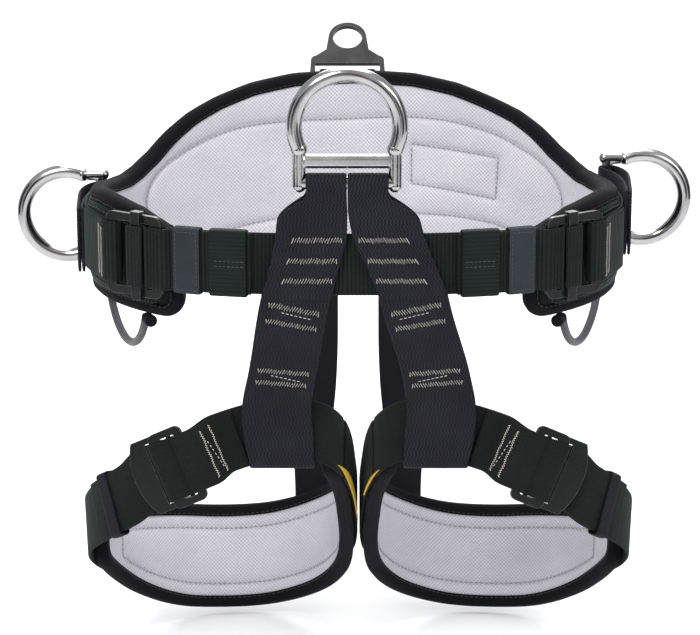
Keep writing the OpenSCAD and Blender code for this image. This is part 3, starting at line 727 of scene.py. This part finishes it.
def resized(field, shape):
    """A grid of numbers stretched to another shape, smoothly."""
    for axis, count in enumerate(shape):
        x = np.linspace(0, field.shape[axis] - 1, count)
        i = np.clip(np.floor(x).astype(int), 0, field.shape[axis] - 2)
        f = np.expand_dims(x - i, 1 - axis)
        field = np.take(field, i, axis) * (1 - f) + np.take(field, i + 1, axis) * f
    return field


def softened(field, times):
    for _ in range(times):
        p = np.pad(field, 1, mode="edge")
        field = (p[:-2, 1:-1] + p[2:, 1:-1] + p[1:-1, :-2] + p[1:-1, 2:] + 4 * field) / 8
    return field


def quilted(region, inset, off, direction, seams, puff, groove, allow=None):
    """Fine grid and offsets of a padded face: puffed between seams and sewn down along them."""
    coarse = region.grid(inset, 5.0)
    near = region.margin(*coarse, inset)
    if seams:
        near = np.minimum(distance_to(*coarse, seams), near)
    swell = puff * (1 - np.exp(-near / 9.0))
    blown = inflate(region.sheet, *coarse, off, direction, near < 2.6, puff * 1.5)
    swell = (1 - SWELL_SHARE) * swell + SWELL_SHARE * blown
    s, h = region.grid(inset, 2.0)
    rim = ease(region.margin(s, h, inset) / 6.0)
    fine = softened(resized(swell, s.shape), 6) * rim
    if allow is not None:
        fine = fine * allow(s, h)
    if seams:
        d = distance_to(s, h, seams)
        fine = fine * (1 - np.exp(-(d / 3.6) ** 2)) - groove * np.exp(-(d / 1.9) ** 2) * rim
    wrinkle = 0.22 * np.sin(s / 11.0 + np.sin(h / 9.0)) * np.sin(h / 7.0 + np.sin(s / 23.0)) * rim
    return s, h, off + direction * (fine + wrinkle * (0.3 if allow is not None else 1.0))


def padded_face(name, region, face, back_off, material, slot, **how):
    """A closed piece between a quilted face and a plain back."""
    s, h, off = face
    front, back = region.sheet.at(s, h, off), region.sheet.at(s, h, back_off)
    rows, columns = s.shape
    count = rows * columns
    faces = grid_faces(rows, columns) + [f[::-1] for f in grid_faces(rows, columns, count)]
    ring = ([i * columns for i in range(rows)] + [(rows - 1) * columns + j for j in range(1, columns)]
            + [i * columns + columns - 1 for i in range(rows - 2, -1, -1)] + list(range(columns - 2, 0, -1)))
    faces += [[a, b, b + count, a + count] for a, b in zip(ring, ring[1:] + ring[:1])]
    uvs = np.stack([s.ravel(), h.ravel()], -1)
    return piece(name, np.vstack([front.reshape(-1, 3), back.reshape(-1, 3)]), faces, np.vstack([uvs, uvs]),
                 material, slot, **how)


def tape(name, region, inner, outer, rows, replaces, **how):
    """Edge tape folded over a pad's rim, with a row of stitches at each offset in rows.

    inner and outer are how far the tape stands from the pad's middle.
    """
    line = region.outline()
    into = region.inward(line)
    cut = [(TAPE_W, outer), (6.0, outer + 0.3), (2.6, outer), (0.8, outer * 0.7), (0.0, outer * 0.2),
           (0.0, -inner * 0.2), (0.8, -inner * 0.7), (2.6, -inner), (6.0, -inner - 0.3), (TAPE_W, -inner),
           (TAPE_W - 0.3, -inner + 1.0), (3.2, -inner + 1.2), (3.2, outer - 1.2), (TAPE_W - 0.3, outer - 1.0)]
    points = [line + into * e for e, _ in cut]
    rings = np.stack([region.sheet.at(p[:, 0], p[:, 1], n) for p, (_, n) in zip(points, cut)], 1)
    uvs = [(x, e + (12 if n < 0 else 0)) for x in np.arange(len(line)) * 3.0 for e, n in cut]
    piece(name, *swept(rings, closed=True), uvs, BINDING, "binding", replaces=replaces, **how)
    seam = line + into * (TAPE_W - 1.8)
    seam = np.vstack([seam, seam[:1]])
    stitches(sewn(name), [on_sheet(region.sheet, seam, off) for off in rows], BLACK, "binding", 2.4, 1.6, 0.3, **how)


# --- the waist pad ---

PAD = Region(WAIST, to_s(PAD_END), to_s(360 - PAD_END), pad_low, pad_top, 16.0)


def by_angle(points):
    """Points of (angle, height) as (s, h), made into a smooth line."""
    return smooth_path([(to_s(a), z, 0.0) for a, z in points], 4.0)[:, :2]


UPPER_SEAM = by_angle([
    (128, -26), (124.5, -14), (123.3, -2), (123.8, 8), (125.8, 16), (129, 24), (133.1, 31.5), (140.7, 41),
    (148.6, 50), (156.4, 56), (163.4, 60), (171, 62), (180, 60.5), (191.8, 58.5), (198.9, 56.5), (205.5, 53),
    (212.7, 46.4), (222.7, 35), (230.6, 24), (234.6, 14), (236.2, 5.7), (235.5, -8), (232, -26),
])
LOWER_SEAM = by_angle([(141, -29), (146.4, -23), (156.5, -17.9), (169.5, -15.2), (180, -14.6), (193, -18.9),
                       (204.5, -25.4), (212, -31)])
PATCH = [(to_s(a), z) for a, z in ((170.3, 40.6), (147.9, 31.7), (148.6, -1.6), (170.3, 9.0), (170.3, 40.6))]
PATCH_SEAM = np.vstack([np.linspace(p, q, 24)[:-1] for p, q in zip(PATCH, PATCH[1:])] + [PATCH[:1]])
LINING_SEAMS = [UPPER_SEAM, LOWER_SEAM, PATCH_SEAM]


def clear_of_belt(s, h):
    """1 where the outer fabric is free to swell and 0 under the belt and its panels."""
    return ease((np.abs(h) - 27.0) / 9.0)


def waist_pad():
    how = {"ride": "waist"}
    lining = quilted(PAD, 6.0, -PAD_HALF + 0.6, -1, LINING_SEAMS, 3.6, 1.6)
    made = padded_face("waist_lining", PAD, lining, 0.0, LINING, "lining",
                       replaces=("waist_pad_lining", "waist_pad_foam"), **how)
    back_seam = by_angle([(a, pad_top(to_s(a)) - 24) for a in range(122, 240, 4)])
    shell = quilted(PAD, 6.0, PAD_HALF - 0.9, 1, [back_seam], 2.4, 0.6, clear_of_belt)
    made = padded_face("waist_shell", PAD, shell, 0.5, SHELL, "shell", replaces=("waist_pad_shell",), **how)
    tape("waist_tape", PAD, PAD_HALF + 0.7, PAD_HALF - 0.1, (-PAD_HALF - 0.8, PAD_HALF), ("waist_pad_binding",), **how)
    stitches("waist_lining_stitches", [on_sheet(WAIST, seam, -PAD_HALF + 1.0) for seam in LINING_SEAMS], GREY,
             "lining", 2.6, 1.4, 0.42, **how)
    stitches("waist_shell_stitches", [on_sheet(WAIST, back_seam, PAD_HALF - 1.1)], DARK, "shell", **how)


def hip_panels():
    region = Region(WAIST, to_s(40), to_s(102), lambda s: pad_low(s) + 9, lambda s: np.minimum(pad_top(s) - 9, 30),
                    12.0)
    s, h = region.grid(0.0, 2.0)
    face = (s, h, PANEL_OFF + 1.4 - 0.7 * np.exp(-region.margin(s, h, 0.0) / 0.8))
    line = region.outline()
    edge = line + region.inward(line) * 4.0
    seam = on_sheet(WAIST, np.vstack([edge, edge[:1]]), PANEL_OFF + 1.5)
    for name, _, how in both("waist"):
        padded_face("hip_panel." + name, region, face, PANEL_OFF, HIP, "hip_fabric", replaces=True, **how)
        stitches("hip_panel_stitches." + name, [seam], DARK, "hip_fabric", **how)


# --- belts and adjusters ---

def at_buckle(pairs):
    """Places near the left waist adjuster, from (along, outward) pairs."""
    return beside(waist(BUCKLE_ANGLE, 13.0), *waist_axes(BUCKLE_ANGLE), pairs)


def belts():
    mirrored = np.array([-1.0, 1.0, 1.0])
    mid, tail_mid = BELT_OFF + WEB_T / 2, BELT_OFF + WEB_T + 0.4 + WEB_T / 2
    half = [waist(a, mid) for a in np.linspace(0, 36, 17)] + at_buckle([(-22, -4.2), (-17, -3.1), (-13, -1)])
    line = strip([p * mirrored for p in reversed(half[1:])] + half, UP)
    strap("front_belt", line, BELT, "webbing", rib=0.22, ride="waist", replaces=True)
    tail = [waist(a, tail_mid) for a in np.linspace(17, 35, 13)]
    tail += at_buckle([(-31, -3.2), (-26.9, 2.8), (-22, 3.4), (-17, 3.4), (-13, 5)])
    r, n = 2.75, 3.15
    fold = at_buckle([(-11, n - r), (-5, n - r)] + arc(0.4, n, r, -90, 90) + [(-5, n + r), (-11, n + r)])
    for name, side, how in both("waist"):
        strap("belt_tail." + name, strip(tail, UP), BELT, "webbing", rib=0.22, replaces=True, **how)
        strap("belt_fold." + name, strip(fold, UP, step=1.2), BELT, "webbing", rib=0.15, replaces=True,
              ride="waist_slider_" + name, mirror=side < 0)
    back_off = lambda a: mix(PANEL_OFF, BELT_OFF, ease((118 - a) / 10)) + WEB_T / 2
    half = [waist(a, BELT_OFF + PLY + WEB_T / 2) for a in (76, 73, 70)]
    half += at_buckle([(35, -3.8), (30, 0.4), (26, 2.9), (22, 3)] + arc(17.2, 0, 3, 90, 270)
                      + [(22, -3), (27, -4), (34, -6.6)])
    half += [waist(a, back_off(a)) for a in np.linspace(70, 180, 27)]
    line = strip(half + [p * mirrored for p in reversed(half[:-1])], UP)
    strap("waist_webbing", line, BELT, "webbing", ride="waist", replaces=True)
    tacks = []
    for place, d in zip(at_buckle([(33.5, -3.0), (27.5, 2.0)]), (-1.0, -2.0)):
        s = float(line.s[np.argmin(np.linalg.norm(line.place[:30] - place, axis=1))])
        tacks.append(zigzag((s, -17.0 + d), (s, 19.0 + d), 1.3, 1.9))
    for name, _, how in both("waist"):
        tack_tubes("adjuster_tacks." + name, line, tacks, -ON_WEB, PALE, "webbing", **how)


def band(name, origin, along, up, out, size, material, **how):
    """An elastic loop round webbing: size is (length, half height, from, to)."""
    length, tall, low, high = size
    r = 2.6
    loop = []
    for cx, cy, start in ((tall - r, high - r, 0), (-tall + r, high - r, 90), (-tall + r, low + r, 180),
                          (tall - r, low + r, 270)):
        loop += arc(cx, cy, r, start, start + 90, 7)
    path = beside(origin, up, out, loop + loop[:1])
    dense = []
    for p, q in zip(path, path[1:]):
        n = max(1, int(np.linalg.norm(q - p) / 2.5))
        dense += [p + (q - p) * i / n for i in range(n)]
    dense = np.array(dense + [path[0]])
    tangent = unit(np.roll(dense[:-1], -1, axis=0) - np.roll(dense[:-1], 1, axis=0))
    ups = np.tile(along, (len(dense), 1))
    line = Sheet(dense, ups, unit(np.cross(np.vstack([tangent, tangent[:1]]), ups)), length / 2)
    strap(name, line, material, "keeper", 1.1, closed=True, replaces=True, **how)


def keepers():
    """Four bands round the belt: plain elastic outside, and darker ones with a double seam inside."""
    low, high = BELT_OFF - 1.6, BELT_OFF + WEB_T * 2 + 1.9
    border = [[(x, h) for h in np.linspace(-21, 21, 12)] for x in (12.0, 28.0)]
    border += [[(x, h) for x in np.linspace(12, 28, 6)] for h in (-21, 21)]
    double = [[(x, h) for x in np.linspace(8, 32, 8)] for h in (-1.8, 1.8)]
    for kind, angle, length, material, rows in (("outer_keeper", 32.0, 20.0, ELASTIC, border),
                                                ("inner_keeper", 22.0, 27.0, HIP, double)):
        origin, (along, out) = waist_line(angle), waist_axes(angle)
        face = Sheet(origin + along * np.linspace(-20, 20, 5)[:, None], np.tile(UP, (5, 1)), np.tile(out, (5, 1)))
        for name, _, how in both(kind + "_{}"):
            band(f"{kind}.{name}", origin, along, UP, out, (length, 23.8, low, high), material, **how)
            stitches(f"{kind}_stitches.{name}", [on_sheet(face, r, high + 0.6) for r in rows], DARK, "keeper",
                     2.0, 1.2, 0.3, **how)


# --- rings, plate and their tabs ---

def side_ring_tabs():
    """Webbing through each side ring and back; the left one sits higher, as in the photo."""
    inner = BELT_OFF + 2 * PLY - 1.2
    path = [waist(a, inner) for a in (81, 85, 89, 94, 99, 104)]
    path += beside(waist(SIDE_RING_ANGLE, 18.7), *waist_axes(SIDE_RING_ANGLE),
                   arc(0, 0, 4.5 + 0.3 + WEB_T / 2, -90, 90, 11))
    path += [waist(a, off + inner - 12.2)
             for a, off in ((103, 22.4), (98, 19.4), (93, 17), (89, 15.6), (85, 15.2), (81, 15.2))]
    for name, side, how in both("waist"):
        line = strip(np.array(path) + UP * (8 if side > 0 else -5), UP, 24.3, 1.8)
        strap("side_ring_tab." + name, line, RISER, "riser_webbing", replaces=True, **how)
        rows = tacks_at(line.s[-1] - [6.0, 13.5], -18, 18, 1.3, 1.6)
        tack_tubes("side_tab_tacks." + name, line, rows, ON_WEB, PALE, "riser_webbing", **how)


def rear_tab():
    y, tab_r, slot_z = 130.5, 3.4 + 0.3 + WEB_T / 2, 90.0
    back_y = y - tab_r + PLY
    path = [(y - tab_r - ease((76 - z) / 60) * 0.3, z) for z in (-20, 0, 20, 40, 60, 80)]
    path += arc(y, slot_z, tab_r, 180, 0, 11)
    path += [(y + tab_r - 1, 80), (y + 1.6, 68), (y - 1, 54), (back_y, 38), (back_y, 10), (back_y, -20)]
    line = strip([(RING_SHIFT, *p) for p in path], SIDEWAYS, 22.0, 1.8)
    strap("rear_tab", line, STRAP, "webbing", ride="waist", replaces=("rear_plate_tab",))
    rows = tacks_at(line.s[-1] - [5.0, 12.0, 38.0, 45.0], -17, 17)
    tack_tubes("rear_tab_tacks", line, rows, ON_WEB, DARK, "webbing", ride="waist")


def cross_bar():
    """The front ring's flat-sided bar, pointed at both ends, over its straight bar."""
    half, point, wide, tall, rise = 30.5, 4.0, 4.9, 4.6, 15.5
    ends = [(half - 1.0, 1.0), (half, 0.95), (half + point, 0.35)]
    cut = [(-1, -0.45), (-0.6, -1), (0.6, -1), (1, -0.45), (1, 0.45), (0.6, 1), (-0.6, 1), (-1, 0.45)]
    rings = [[(RING_SHIFT + x, RING_Y + a * wide * k, RING_Z + rise + b * tall * k) for a, b in cut]
             for x, k in [(-x, k) for x, k in reversed(ends)] + ends]
    bevelled(piece("front_ring_bar", *swept(rings), None, FORGED, "forged_ring", ride="front_ring", smooth=False))


# --- risers ---

FRONT_PLY = WAIST_D / 2 + BELT_OFF + 2 * WEB_T + 0.4 + WEB_T / 2
BACK_PLY = WAIST_D / 2 + BELT_OFF - 4.1 - WEB_T / 2
RISER_TOP = [(14.7, 14.4, 59), (14.7, 14.4, 51), (20, 19.7, 43), (24.8, 24.3, 34), (27, 25, 22), (34, 24.5, 0),
             (42.3, 24.5, -25)]
RISER_LOW = [(41.9, -0.3, -23, 24.5), (43.2, -0.3, -29, 24.5), (49, -7, -55, 24.5), (55.5, -16, -85, 24.5),
             (59.5, -23, -110, 25), (58, -24, -136, 25), (56, -24, -153, 23.5)]
SLEEVE_DEPTH, RING_BEND, REAR_STRAP_T = 8.0, 6.0, 3.62


def riser_shift(z):
    away = np.where(z > -25, RING_SHIFT, LEG_SHIFT)
    return mix(0.4, away, ease(np.where(z > -25, (z + 25) / 76, -(z + 25) / 60)))


def ply_y(r, z, edge):
    return -mix(edge, WAIST_D / 2 + 10.6 + r, ease((z - 18) / 40))


def riser_lines(side):
    """The yoke over the belt and through the ring, and the riser below it, for one side."""
    x, w, z = smooth_path(RISER_TOP, 5.0).T
    x = x + side * riser_shift(z)
    back = np.stack([x, ply_y(-RING_BEND, z, BACK_PLY), z], -1)[::-1]
    front = np.stack([x, ply_y(RING_BEND, z, FRONT_PLY), z], -1)
    turn = [(x[0], *p) for p in arc(RING_Y, RING_Z, RING_BEND, 0, 180, 11)[1:-1]]
    yoke = strip(np.vstack([back, turn, front]), SIDEWAYS, np.concatenate([w[::-1], np.full(9, w[0]), w]), 1.8)
    low = smooth_path(RISER_LOW, 5.0)
    y0, x0 = -FRONT_PLY + 24, 56 + side * LEG_SHIFT
    run = np.stack([low[:, 0] + side * riser_shift(low[:, 2]), -FRONT_PLY - low[:, 1], low[:, 2]], -1)
    under = [(x0, y0 + SLEEVE_DEPTH * (1 + a), -153 + 5 * b) for a, b in arc(0, 0, 1, 180, 360)]
    up = [(x0 + 1, y0 + 2 * SLEEVE_DEPTH, -140), (x0 + 2, y0 + 2 * SLEEVE_DEPTH - 1, -122), (x0 + 1.6, y0 + 12, -106),
          (x0 - 0.4, y0 + 0.5, -92), (x0 - 4, y0 - 9 + PLY, -71)]
    half = np.concatenate([low[:, 3], np.full(9, 23.5), [24.5, 24.5, 24, 23, 23]])
    return yoke, strip(np.vstack([run, under, up]), SIDEWAYS, half, 2.2)


def crossing(line, z, first, last):
    """Where the front of a riser passes a height, as s; first and last bound its front run."""
    return float(np.interp(-z, -line.place[first:last, 2], line.s[first:last]))


def risers():
    """Yokes and risers with their bar tacks; (height, slope) of each tack is measured in the photo."""
    for name, side, how in both("waist"):
        yoke, low = riser_lines(side)
        strap("riser_yoke." + name, yoke, RISER, "riser_webbing", replaces=True, **how)
        summit, bottom = int(np.argmax(yoke.place[:, 2])), int(np.argmin(low.place[:, 2]))
        places = [crossing(yoke, z, summit, None) for z in (19.0, 4.0, -10.5)]
        tack_tubes("yoke_tacks." + name, yoke, tacks_at(places, -22.0, 13.0), ON_WEB, PALE,
                   "riser_webbing", **how)
        x = side * 43.0 * MM
        how = {"mirror": side < 0, "blend": ("waist", "leg_" + name, (x, -0.1298, -0.030), (x, -0.1298, -0.085))}
        strap("riser." + name, low, RISER, "riser_webbing", replaces=True, **how)
        places = [(crossing(low, z, 0, bottom), d) for z, d in ((-27.5, 7.5), (-39.5, 7.5), (-79.5, 3.6), (-89, 3.6))]
        tack_tubes("riser_tacks." + name, low, [zigzag((s + d, -19.0), (s, 18.0)) for s, d in places], ON_WEB, PALE,
                   "riser_webbing", **how)
        places = [crossing(low, z, 0, bottom) for z in (-28.5, -79.0)]
        stitches("riser_stitches." + name,
                 [on_sheet(low, np.linspace((s + 5.0, 8.0), (s + 10.5, -14.0), 4), NEAR_WEB) for s in places],
                 PALE, "riser_webbing", 1.7, 1.5, 0.3, **how)


def rear_straps():
    """Each strap comes straight down from the waist pad and is sewn over the leg webbing at the back of the leg."""
    s = leg_s(REAR_STRAP_T)
    chord = unit(LEG.at(s + 20, 0.0, 0.0) - LEG.at(s - 20, 0.0, 0.0))
    fall = [(36, 113.6, -42), (36, 112.6, -53), (36, 111, -66), (36, 104.5, -100), (36, 95.5, -150), (36.5, 87, -200)]
    end = [LEG.at(s, h, off) for h, off in ((42, 9.4), (33, 9.2), (22, 9.7), (8, 9.7), (-6, 9.7))]
    line = strip(fall + end, [SIDEWAYS] * 4 + [unit(mix(SIDEWAYS, chord, 0.5))] + [chord] * 6, 20.0, 3.0)
    sign = 1.0 if line.out[10][1] > 0 else -1.0
    length = line.s[-1]
    tacks = tacks_at((20.0, 28.0, length - 14, length - 6), -16.0, 16.0, 1.3, 1.9)
    seams = [on_sheet(line, [(x, h) for x in np.linspace(14, length - 3, 24)], sign * (WEB_T / 2 + 0.12))
             for h in (-17.5, 17.5)]
    for name, side in SIDES.items():
        x = (LEG_SHIFT + side * 36) * MM
        how = {"mirror": side < 0, "shift": LEG_SHIFT,
               "blend": ("waist", "leg_" + name, (x, 0.1126, -0.053), (x, 0.060, -0.222))}
        strap("rear_strap." + name, line, REAR, "riser_webbing", replaces=True, **how)
        tack_tubes("rear_strap_tacks." + name, line, tacks, sign * ON_WEB, DARK, "riser_webbing", **how)
        stitches("rear_strap_stitches." + name, seams, DARK, "riser_webbing", 2.4, 1.6, 0.28, **how)


# --- leg loops ---

LEG_REGION = Region(LEG, leg_s(LEG_PAD_FROM), leg_s(LEG_PAD_TO), lambda s: -leg_half(s), leg_half, 14.0)


def clear_of_strap(s, h):
    return ease((np.abs(h) - 25.0) / 7.0)


def leg_seams():
    """Two long seams that run out under the tape at the front, and a straight one across their back end."""
    s = np.linspace(LEG_REGION.s0 + 9, LEG_REGION.s1 - 38, 70)
    wide = leg_half(s) - 19.0
    across = np.linspace(-wide[-1], wide[-1], 12)
    return [np.stack([s, wide], -1), np.stack([s, -wide], -1), np.stack([np.full(12, s[-1]), across], -1)]


def leg_pads():
    half, seams = LEG_PAD_HALF_T, leg_seams()
    lining = quilted(LEG_REGION, 6.0, -half + 0.6, -1, seams, 3.0, 1.3)
    shell = quilted(LEG_REGION, 6.0, half - 0.5, 1, [], 2.0, 0.0, clear_of_strap)
    for name, _, how in both("leg_{}", LEG_SHIFT):
        made = padded_face("leg_lining." + name, LEG_REGION, lining, 0.0, LINING, "lining",
                           replaces=("leg_pad_lining_" + name, "leg_pad_foam_" + name), **how)
        made = padded_face("leg_shell." + name, LEG_REGION, shell, 0.5, LEG_SHELL, "leg_shell",
                           replaces=("leg_pad_shell_" + name,), **how)
        tape("leg_tape." + name, LEG_REGION, half + 0.6, half + 0.2, (-half - 0.7, half + 0.3),
             ("leg_pad_binding_" + name,), **how)
        stitches("leg_lining_stitches." + name, [on_sheet(LEG, seam, -half + 0.9) for seam in seams], GREY,
                 "lining", 2.6, 1.4, 0.4, **how)


def leg_slivers():
    """The yellow panel that shows as a sliver below the webbing on the inner side of each leg pad."""
    x, across = np.linspace(-1, 1, 40)[:, None], np.linspace(-1, 1, 9)[None, :]
    for (name, _, how), (last, thick) in zip(both("leg_{}", LEG_SHIFT), ((1.7, 1.2), (2.25, 4.6))):
        s = np.linspace(leg_s(0.95), leg_s(last), 40)[:, None] + 0 * across
        h = -(leg_half(s) - 1.6 - thick) + thick * np.clip(1 - x * x, 0.02, 1) * across
        off = LEG_OFF + WEB_T / 2 + 1.3 - 0.4 * across ** 4 + 0 * s
        padded_face("leg_sliver." + name, LEG_REGION, (s, h, off), off - 0.6, PIPING, "leg_shell", **how)


def leg_straps():
    """Webbing round the pad and through the adjuster, the strap in front of it, and the keeper."""
    r, n = 1.25 + 0.3 + WEB_T / 2, 8.4
    upright = lambda pairs: np.hstack([np.array(at_leg_buckle(pairs)), np.tile(LB_UP, (len(pairs), 1))])
    through = [(-19, -6.4), (-10, -5.4), (-4, -r - 0.8)] + arc(-1.6, 0, r, -90, 90)
    through += [(-8.4, r - 0.2), (-10.2, r - 1.4), (-11.4, -1.4), (-14, -3.2), (-22, -3.6)]
    rows = np.vstack([leg_points(np.linspace(1.25, 8.05, 60), LEG_OFF), upright(through),
                      leg_points(np.linspace(8.04, 7.5, 6), LEG_OFF + PLY + 0.5)])
    webbing = strip(rows[:, :3], rows[:, 3:], step=1.8)
    over = [(33, 4), (24, n + 2.6), (18, n + 2.9), (14, n + 2.6), (10.5, n + 1.0), (7, n + 2.7), (2, n + 3.1)]
    over += arc(-5.2, n, r, 90, 270) + [(2, n - 2.75), (14, n - 3), (24, n - 3.4)]
    rows = np.vstack([leg_points([9.34, 9.24, 9.14], LEG_OFF + PLY), upright(over),
                      leg_points(np.linspace(9.1, 11.16, 20), LEG_OFF)])
    fore = strip(rows[:, :3], rows[:, 3:], step=1.8)
    sign = 1.0 if fore.out[5] @ LB_OUT > 0 else -1.0
    tacks = tacks_at((19.0, 27.5), -18.0, 18.0, 0.7, 1.8)
    slant = on_sheet(fore, np.linspace((20.5, -14.0), (26.0, 12.0), 4), sign * NEAR_WEB)
    place, along, up, out = leg_axes(LEG_KEEPER_T)
    for name, _, how in both("leg_{}", LEG_SHIFT):
        strap("leg_webbing." + name, webbing, STRAP, "webbing", replaces=True, **how)
        strap("leg_strap." + name, fore, STRAP, "webbing", replaces=True, **how)
        tack_tubes("leg_strap_tacks." + name, fore, tacks, sign * ON_WEB, PALE, "webbing", **how)
        stitches("leg_strap_stitches." + name, [slant], PALE, "webbing", 1.5, 1.9, 0.3, **how)
        band("leg_keeper." + name, place + out * LEG_OFF, along, up, out, (12.0, 24.3, -3.0, 5.8), REAR, **how)


def gear_caps():
    """Webbing ends folded over the sewn ends of the gear loops, riding on the pad."""
    turn = np.radians(68.0)
    along = np.array([np.cos(turn), np.sin(turn), 0.0])
    across = np.array([-along[1], along[0], 0.0])
    profile = ((-0.9, 4.45), (-0.2, 4.6), (0.6, 4.5), (1.3, 3.9), (1.7, 2.6), (1.9, 0.8))
    for name, _, how in both("waist"):
        for end, label in ((-1, "front"), (1, "back")):
            centre = np.array([168.0, -37.0, -50.5]) + along * end * 56.9
            verts, faces = swept([beside(centre + along * end * x, across, UP, arc(0, 0, r, 0, 360, 25)[:-1])
                                  for x, r in profile])
            uvs = np.stack([(verts - centre) @ across, verts[:, 2]], -1)
            piece(f"gear_cap_{label}.{name}", verts, faces, uvs, BINDING, "binding", **how)


# --- carried-over hardware ---

def hardware():
    """Looks and crisp edges of the CAD pieces that nothing replaces."""
    for row in frame["record"]["subparts"]:
        node, slot = NODES[row["node"]], row["material_slot"]
        if node.hide_render:
            continue
        node.data.materials.clear()
        node.data.materials.append(PLATE_STEEL if row["node"] == "rear_plate" else LOOKS[slot])
        node.data.polygons.foreach_set("use_smooth", [True] * len(node.data.polygons))
        if slot == "black_steel":
            bevel = bevelled(node)
            bevel.angle_limit, bevel.harden_normals = math.radians(40), True
        else:
            node.modifiers.new("Edges", "EDGE_SPLIT").split_angle = math.radians(50)


# --- floor, lights and camera ---

def card(name, corners, look):
    """A flat four-cornered piece of the studio."""
    mesh = bpy.data.meshes.new(name)
    mesh.from_pydata(corners, [], [(0, 1, 2, 3)])
    mesh.materials.append(look)
    made = placed(name, mesh)
    made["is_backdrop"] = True
    return made


def studio():
    bpy.context.scene.view_settings.view_transform = "Standard"
    z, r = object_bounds()[0].z - 0.004, 6.0
    g = Graph("floor_paint", (0.86, 0.86, 0.87), 0.6)
    g.link(g.blend(g.noise(3.0), (0.85, 0.85, 0.86), (0.88, 0.88, 0.885)), "Base Color")
    card("floor", [(-r, -r, z), (r, -r, z), (r, r, z), (-r, r, z)], g.material)
    dark = Graph("card_black", (0.01, 0.01, 0.012), 0.9).material
    warm = Graph("card_warm", (0.2, 0.13, 0.085), 0.9).material
    places = ((-1.0, -1.4, 0.1, 0.42, dark), (1.05, -1.2, 0.15, 0.4, dark), (0.0, -2.6, 0.9, 0.5, warm),
              (-1.5, -0.1, 0.2, 0.45, dark), (1.5, 0.1, 0.2, 0.45, dark), (0.35, -2.3, 0.0, 0.3, dark))
    for i, (x, y, z, half, look) in enumerate(places):
        side = Vector((-y, x, 0)).normalized() * half
        made = card(f"card_{i}", [(x + a * side.x, y + a * side.y, z + b)
                                  for a, b in ((-1, -0.5), (1, -0.5), (1, 0.5), (-1, 0.5))], look)
        made.visible_camera = made.visible_shadow = made.visible_diffuse = False
    world = bpy.data.worlds.new("studio")
    bpy.context.scene.world = world
    world.use_nodes = True
    sky = world.node_tree.nodes["Background"].inputs
    sky["Color"].default_value, sky["Strength"].default_value = (0.93, 0.95, 1.0, 1.0), 0.62
    lights = (("far", (0.0, 3.8, 2.3), 3.0, 95.0), ("key", (-0.9, -1.6, 1.7), 1.1, 46.0),
              ("fill", (1.5, -1.2, 0.9), 1.2, 12.0), ("top", (0.1, 0.3, 2.0), 1.6, 30.0),
              ("back", (0.0, 2.0, 1.1), 1.4, 18.0))
    for name, place, size, power in lights:
        data = bpy.data.lights.new(name, "AREA")
        data.size, data.energy, data.shape = size, power, "DISK"
        lamp = placed(name, data)
        lamp.location = place
        if name != "far":  # the far one shines straight down on the floor behind
            lamp.rotation_euler = (Vector((0, 0, -0.08)) - lamp.location).to_track_quat("-Z", "Y").to_euler()


def camera():
    """Fifteen degrees above the horizon, two metres away, straight in front."""
    target, distance, rise = Vector((-0.003, 0.0, -0.072)), 2.0, math.radians(15)
    data = bpy.data.cameras.new("camera")
    data.sensor_width, data.lens = 36.0, 135.77
    made = placed("camera", data)
    made.location = target + Vector((0, -math.cos(rise), math.sin(rise))) * distance
    made.rotation_euler = (target - made.location).to_track_quat("-Z", "Y").to_euler()
    bpy.context.scene.camera = made


for build in (camera, waist_pad, hip_panels, belts, keepers, side_ring_tabs, rear_tab, cross_bar, risers, rear_straps,
              leg_pads, leg_slivers, leg_straps, gear_caps, hardware, studio):
    build()
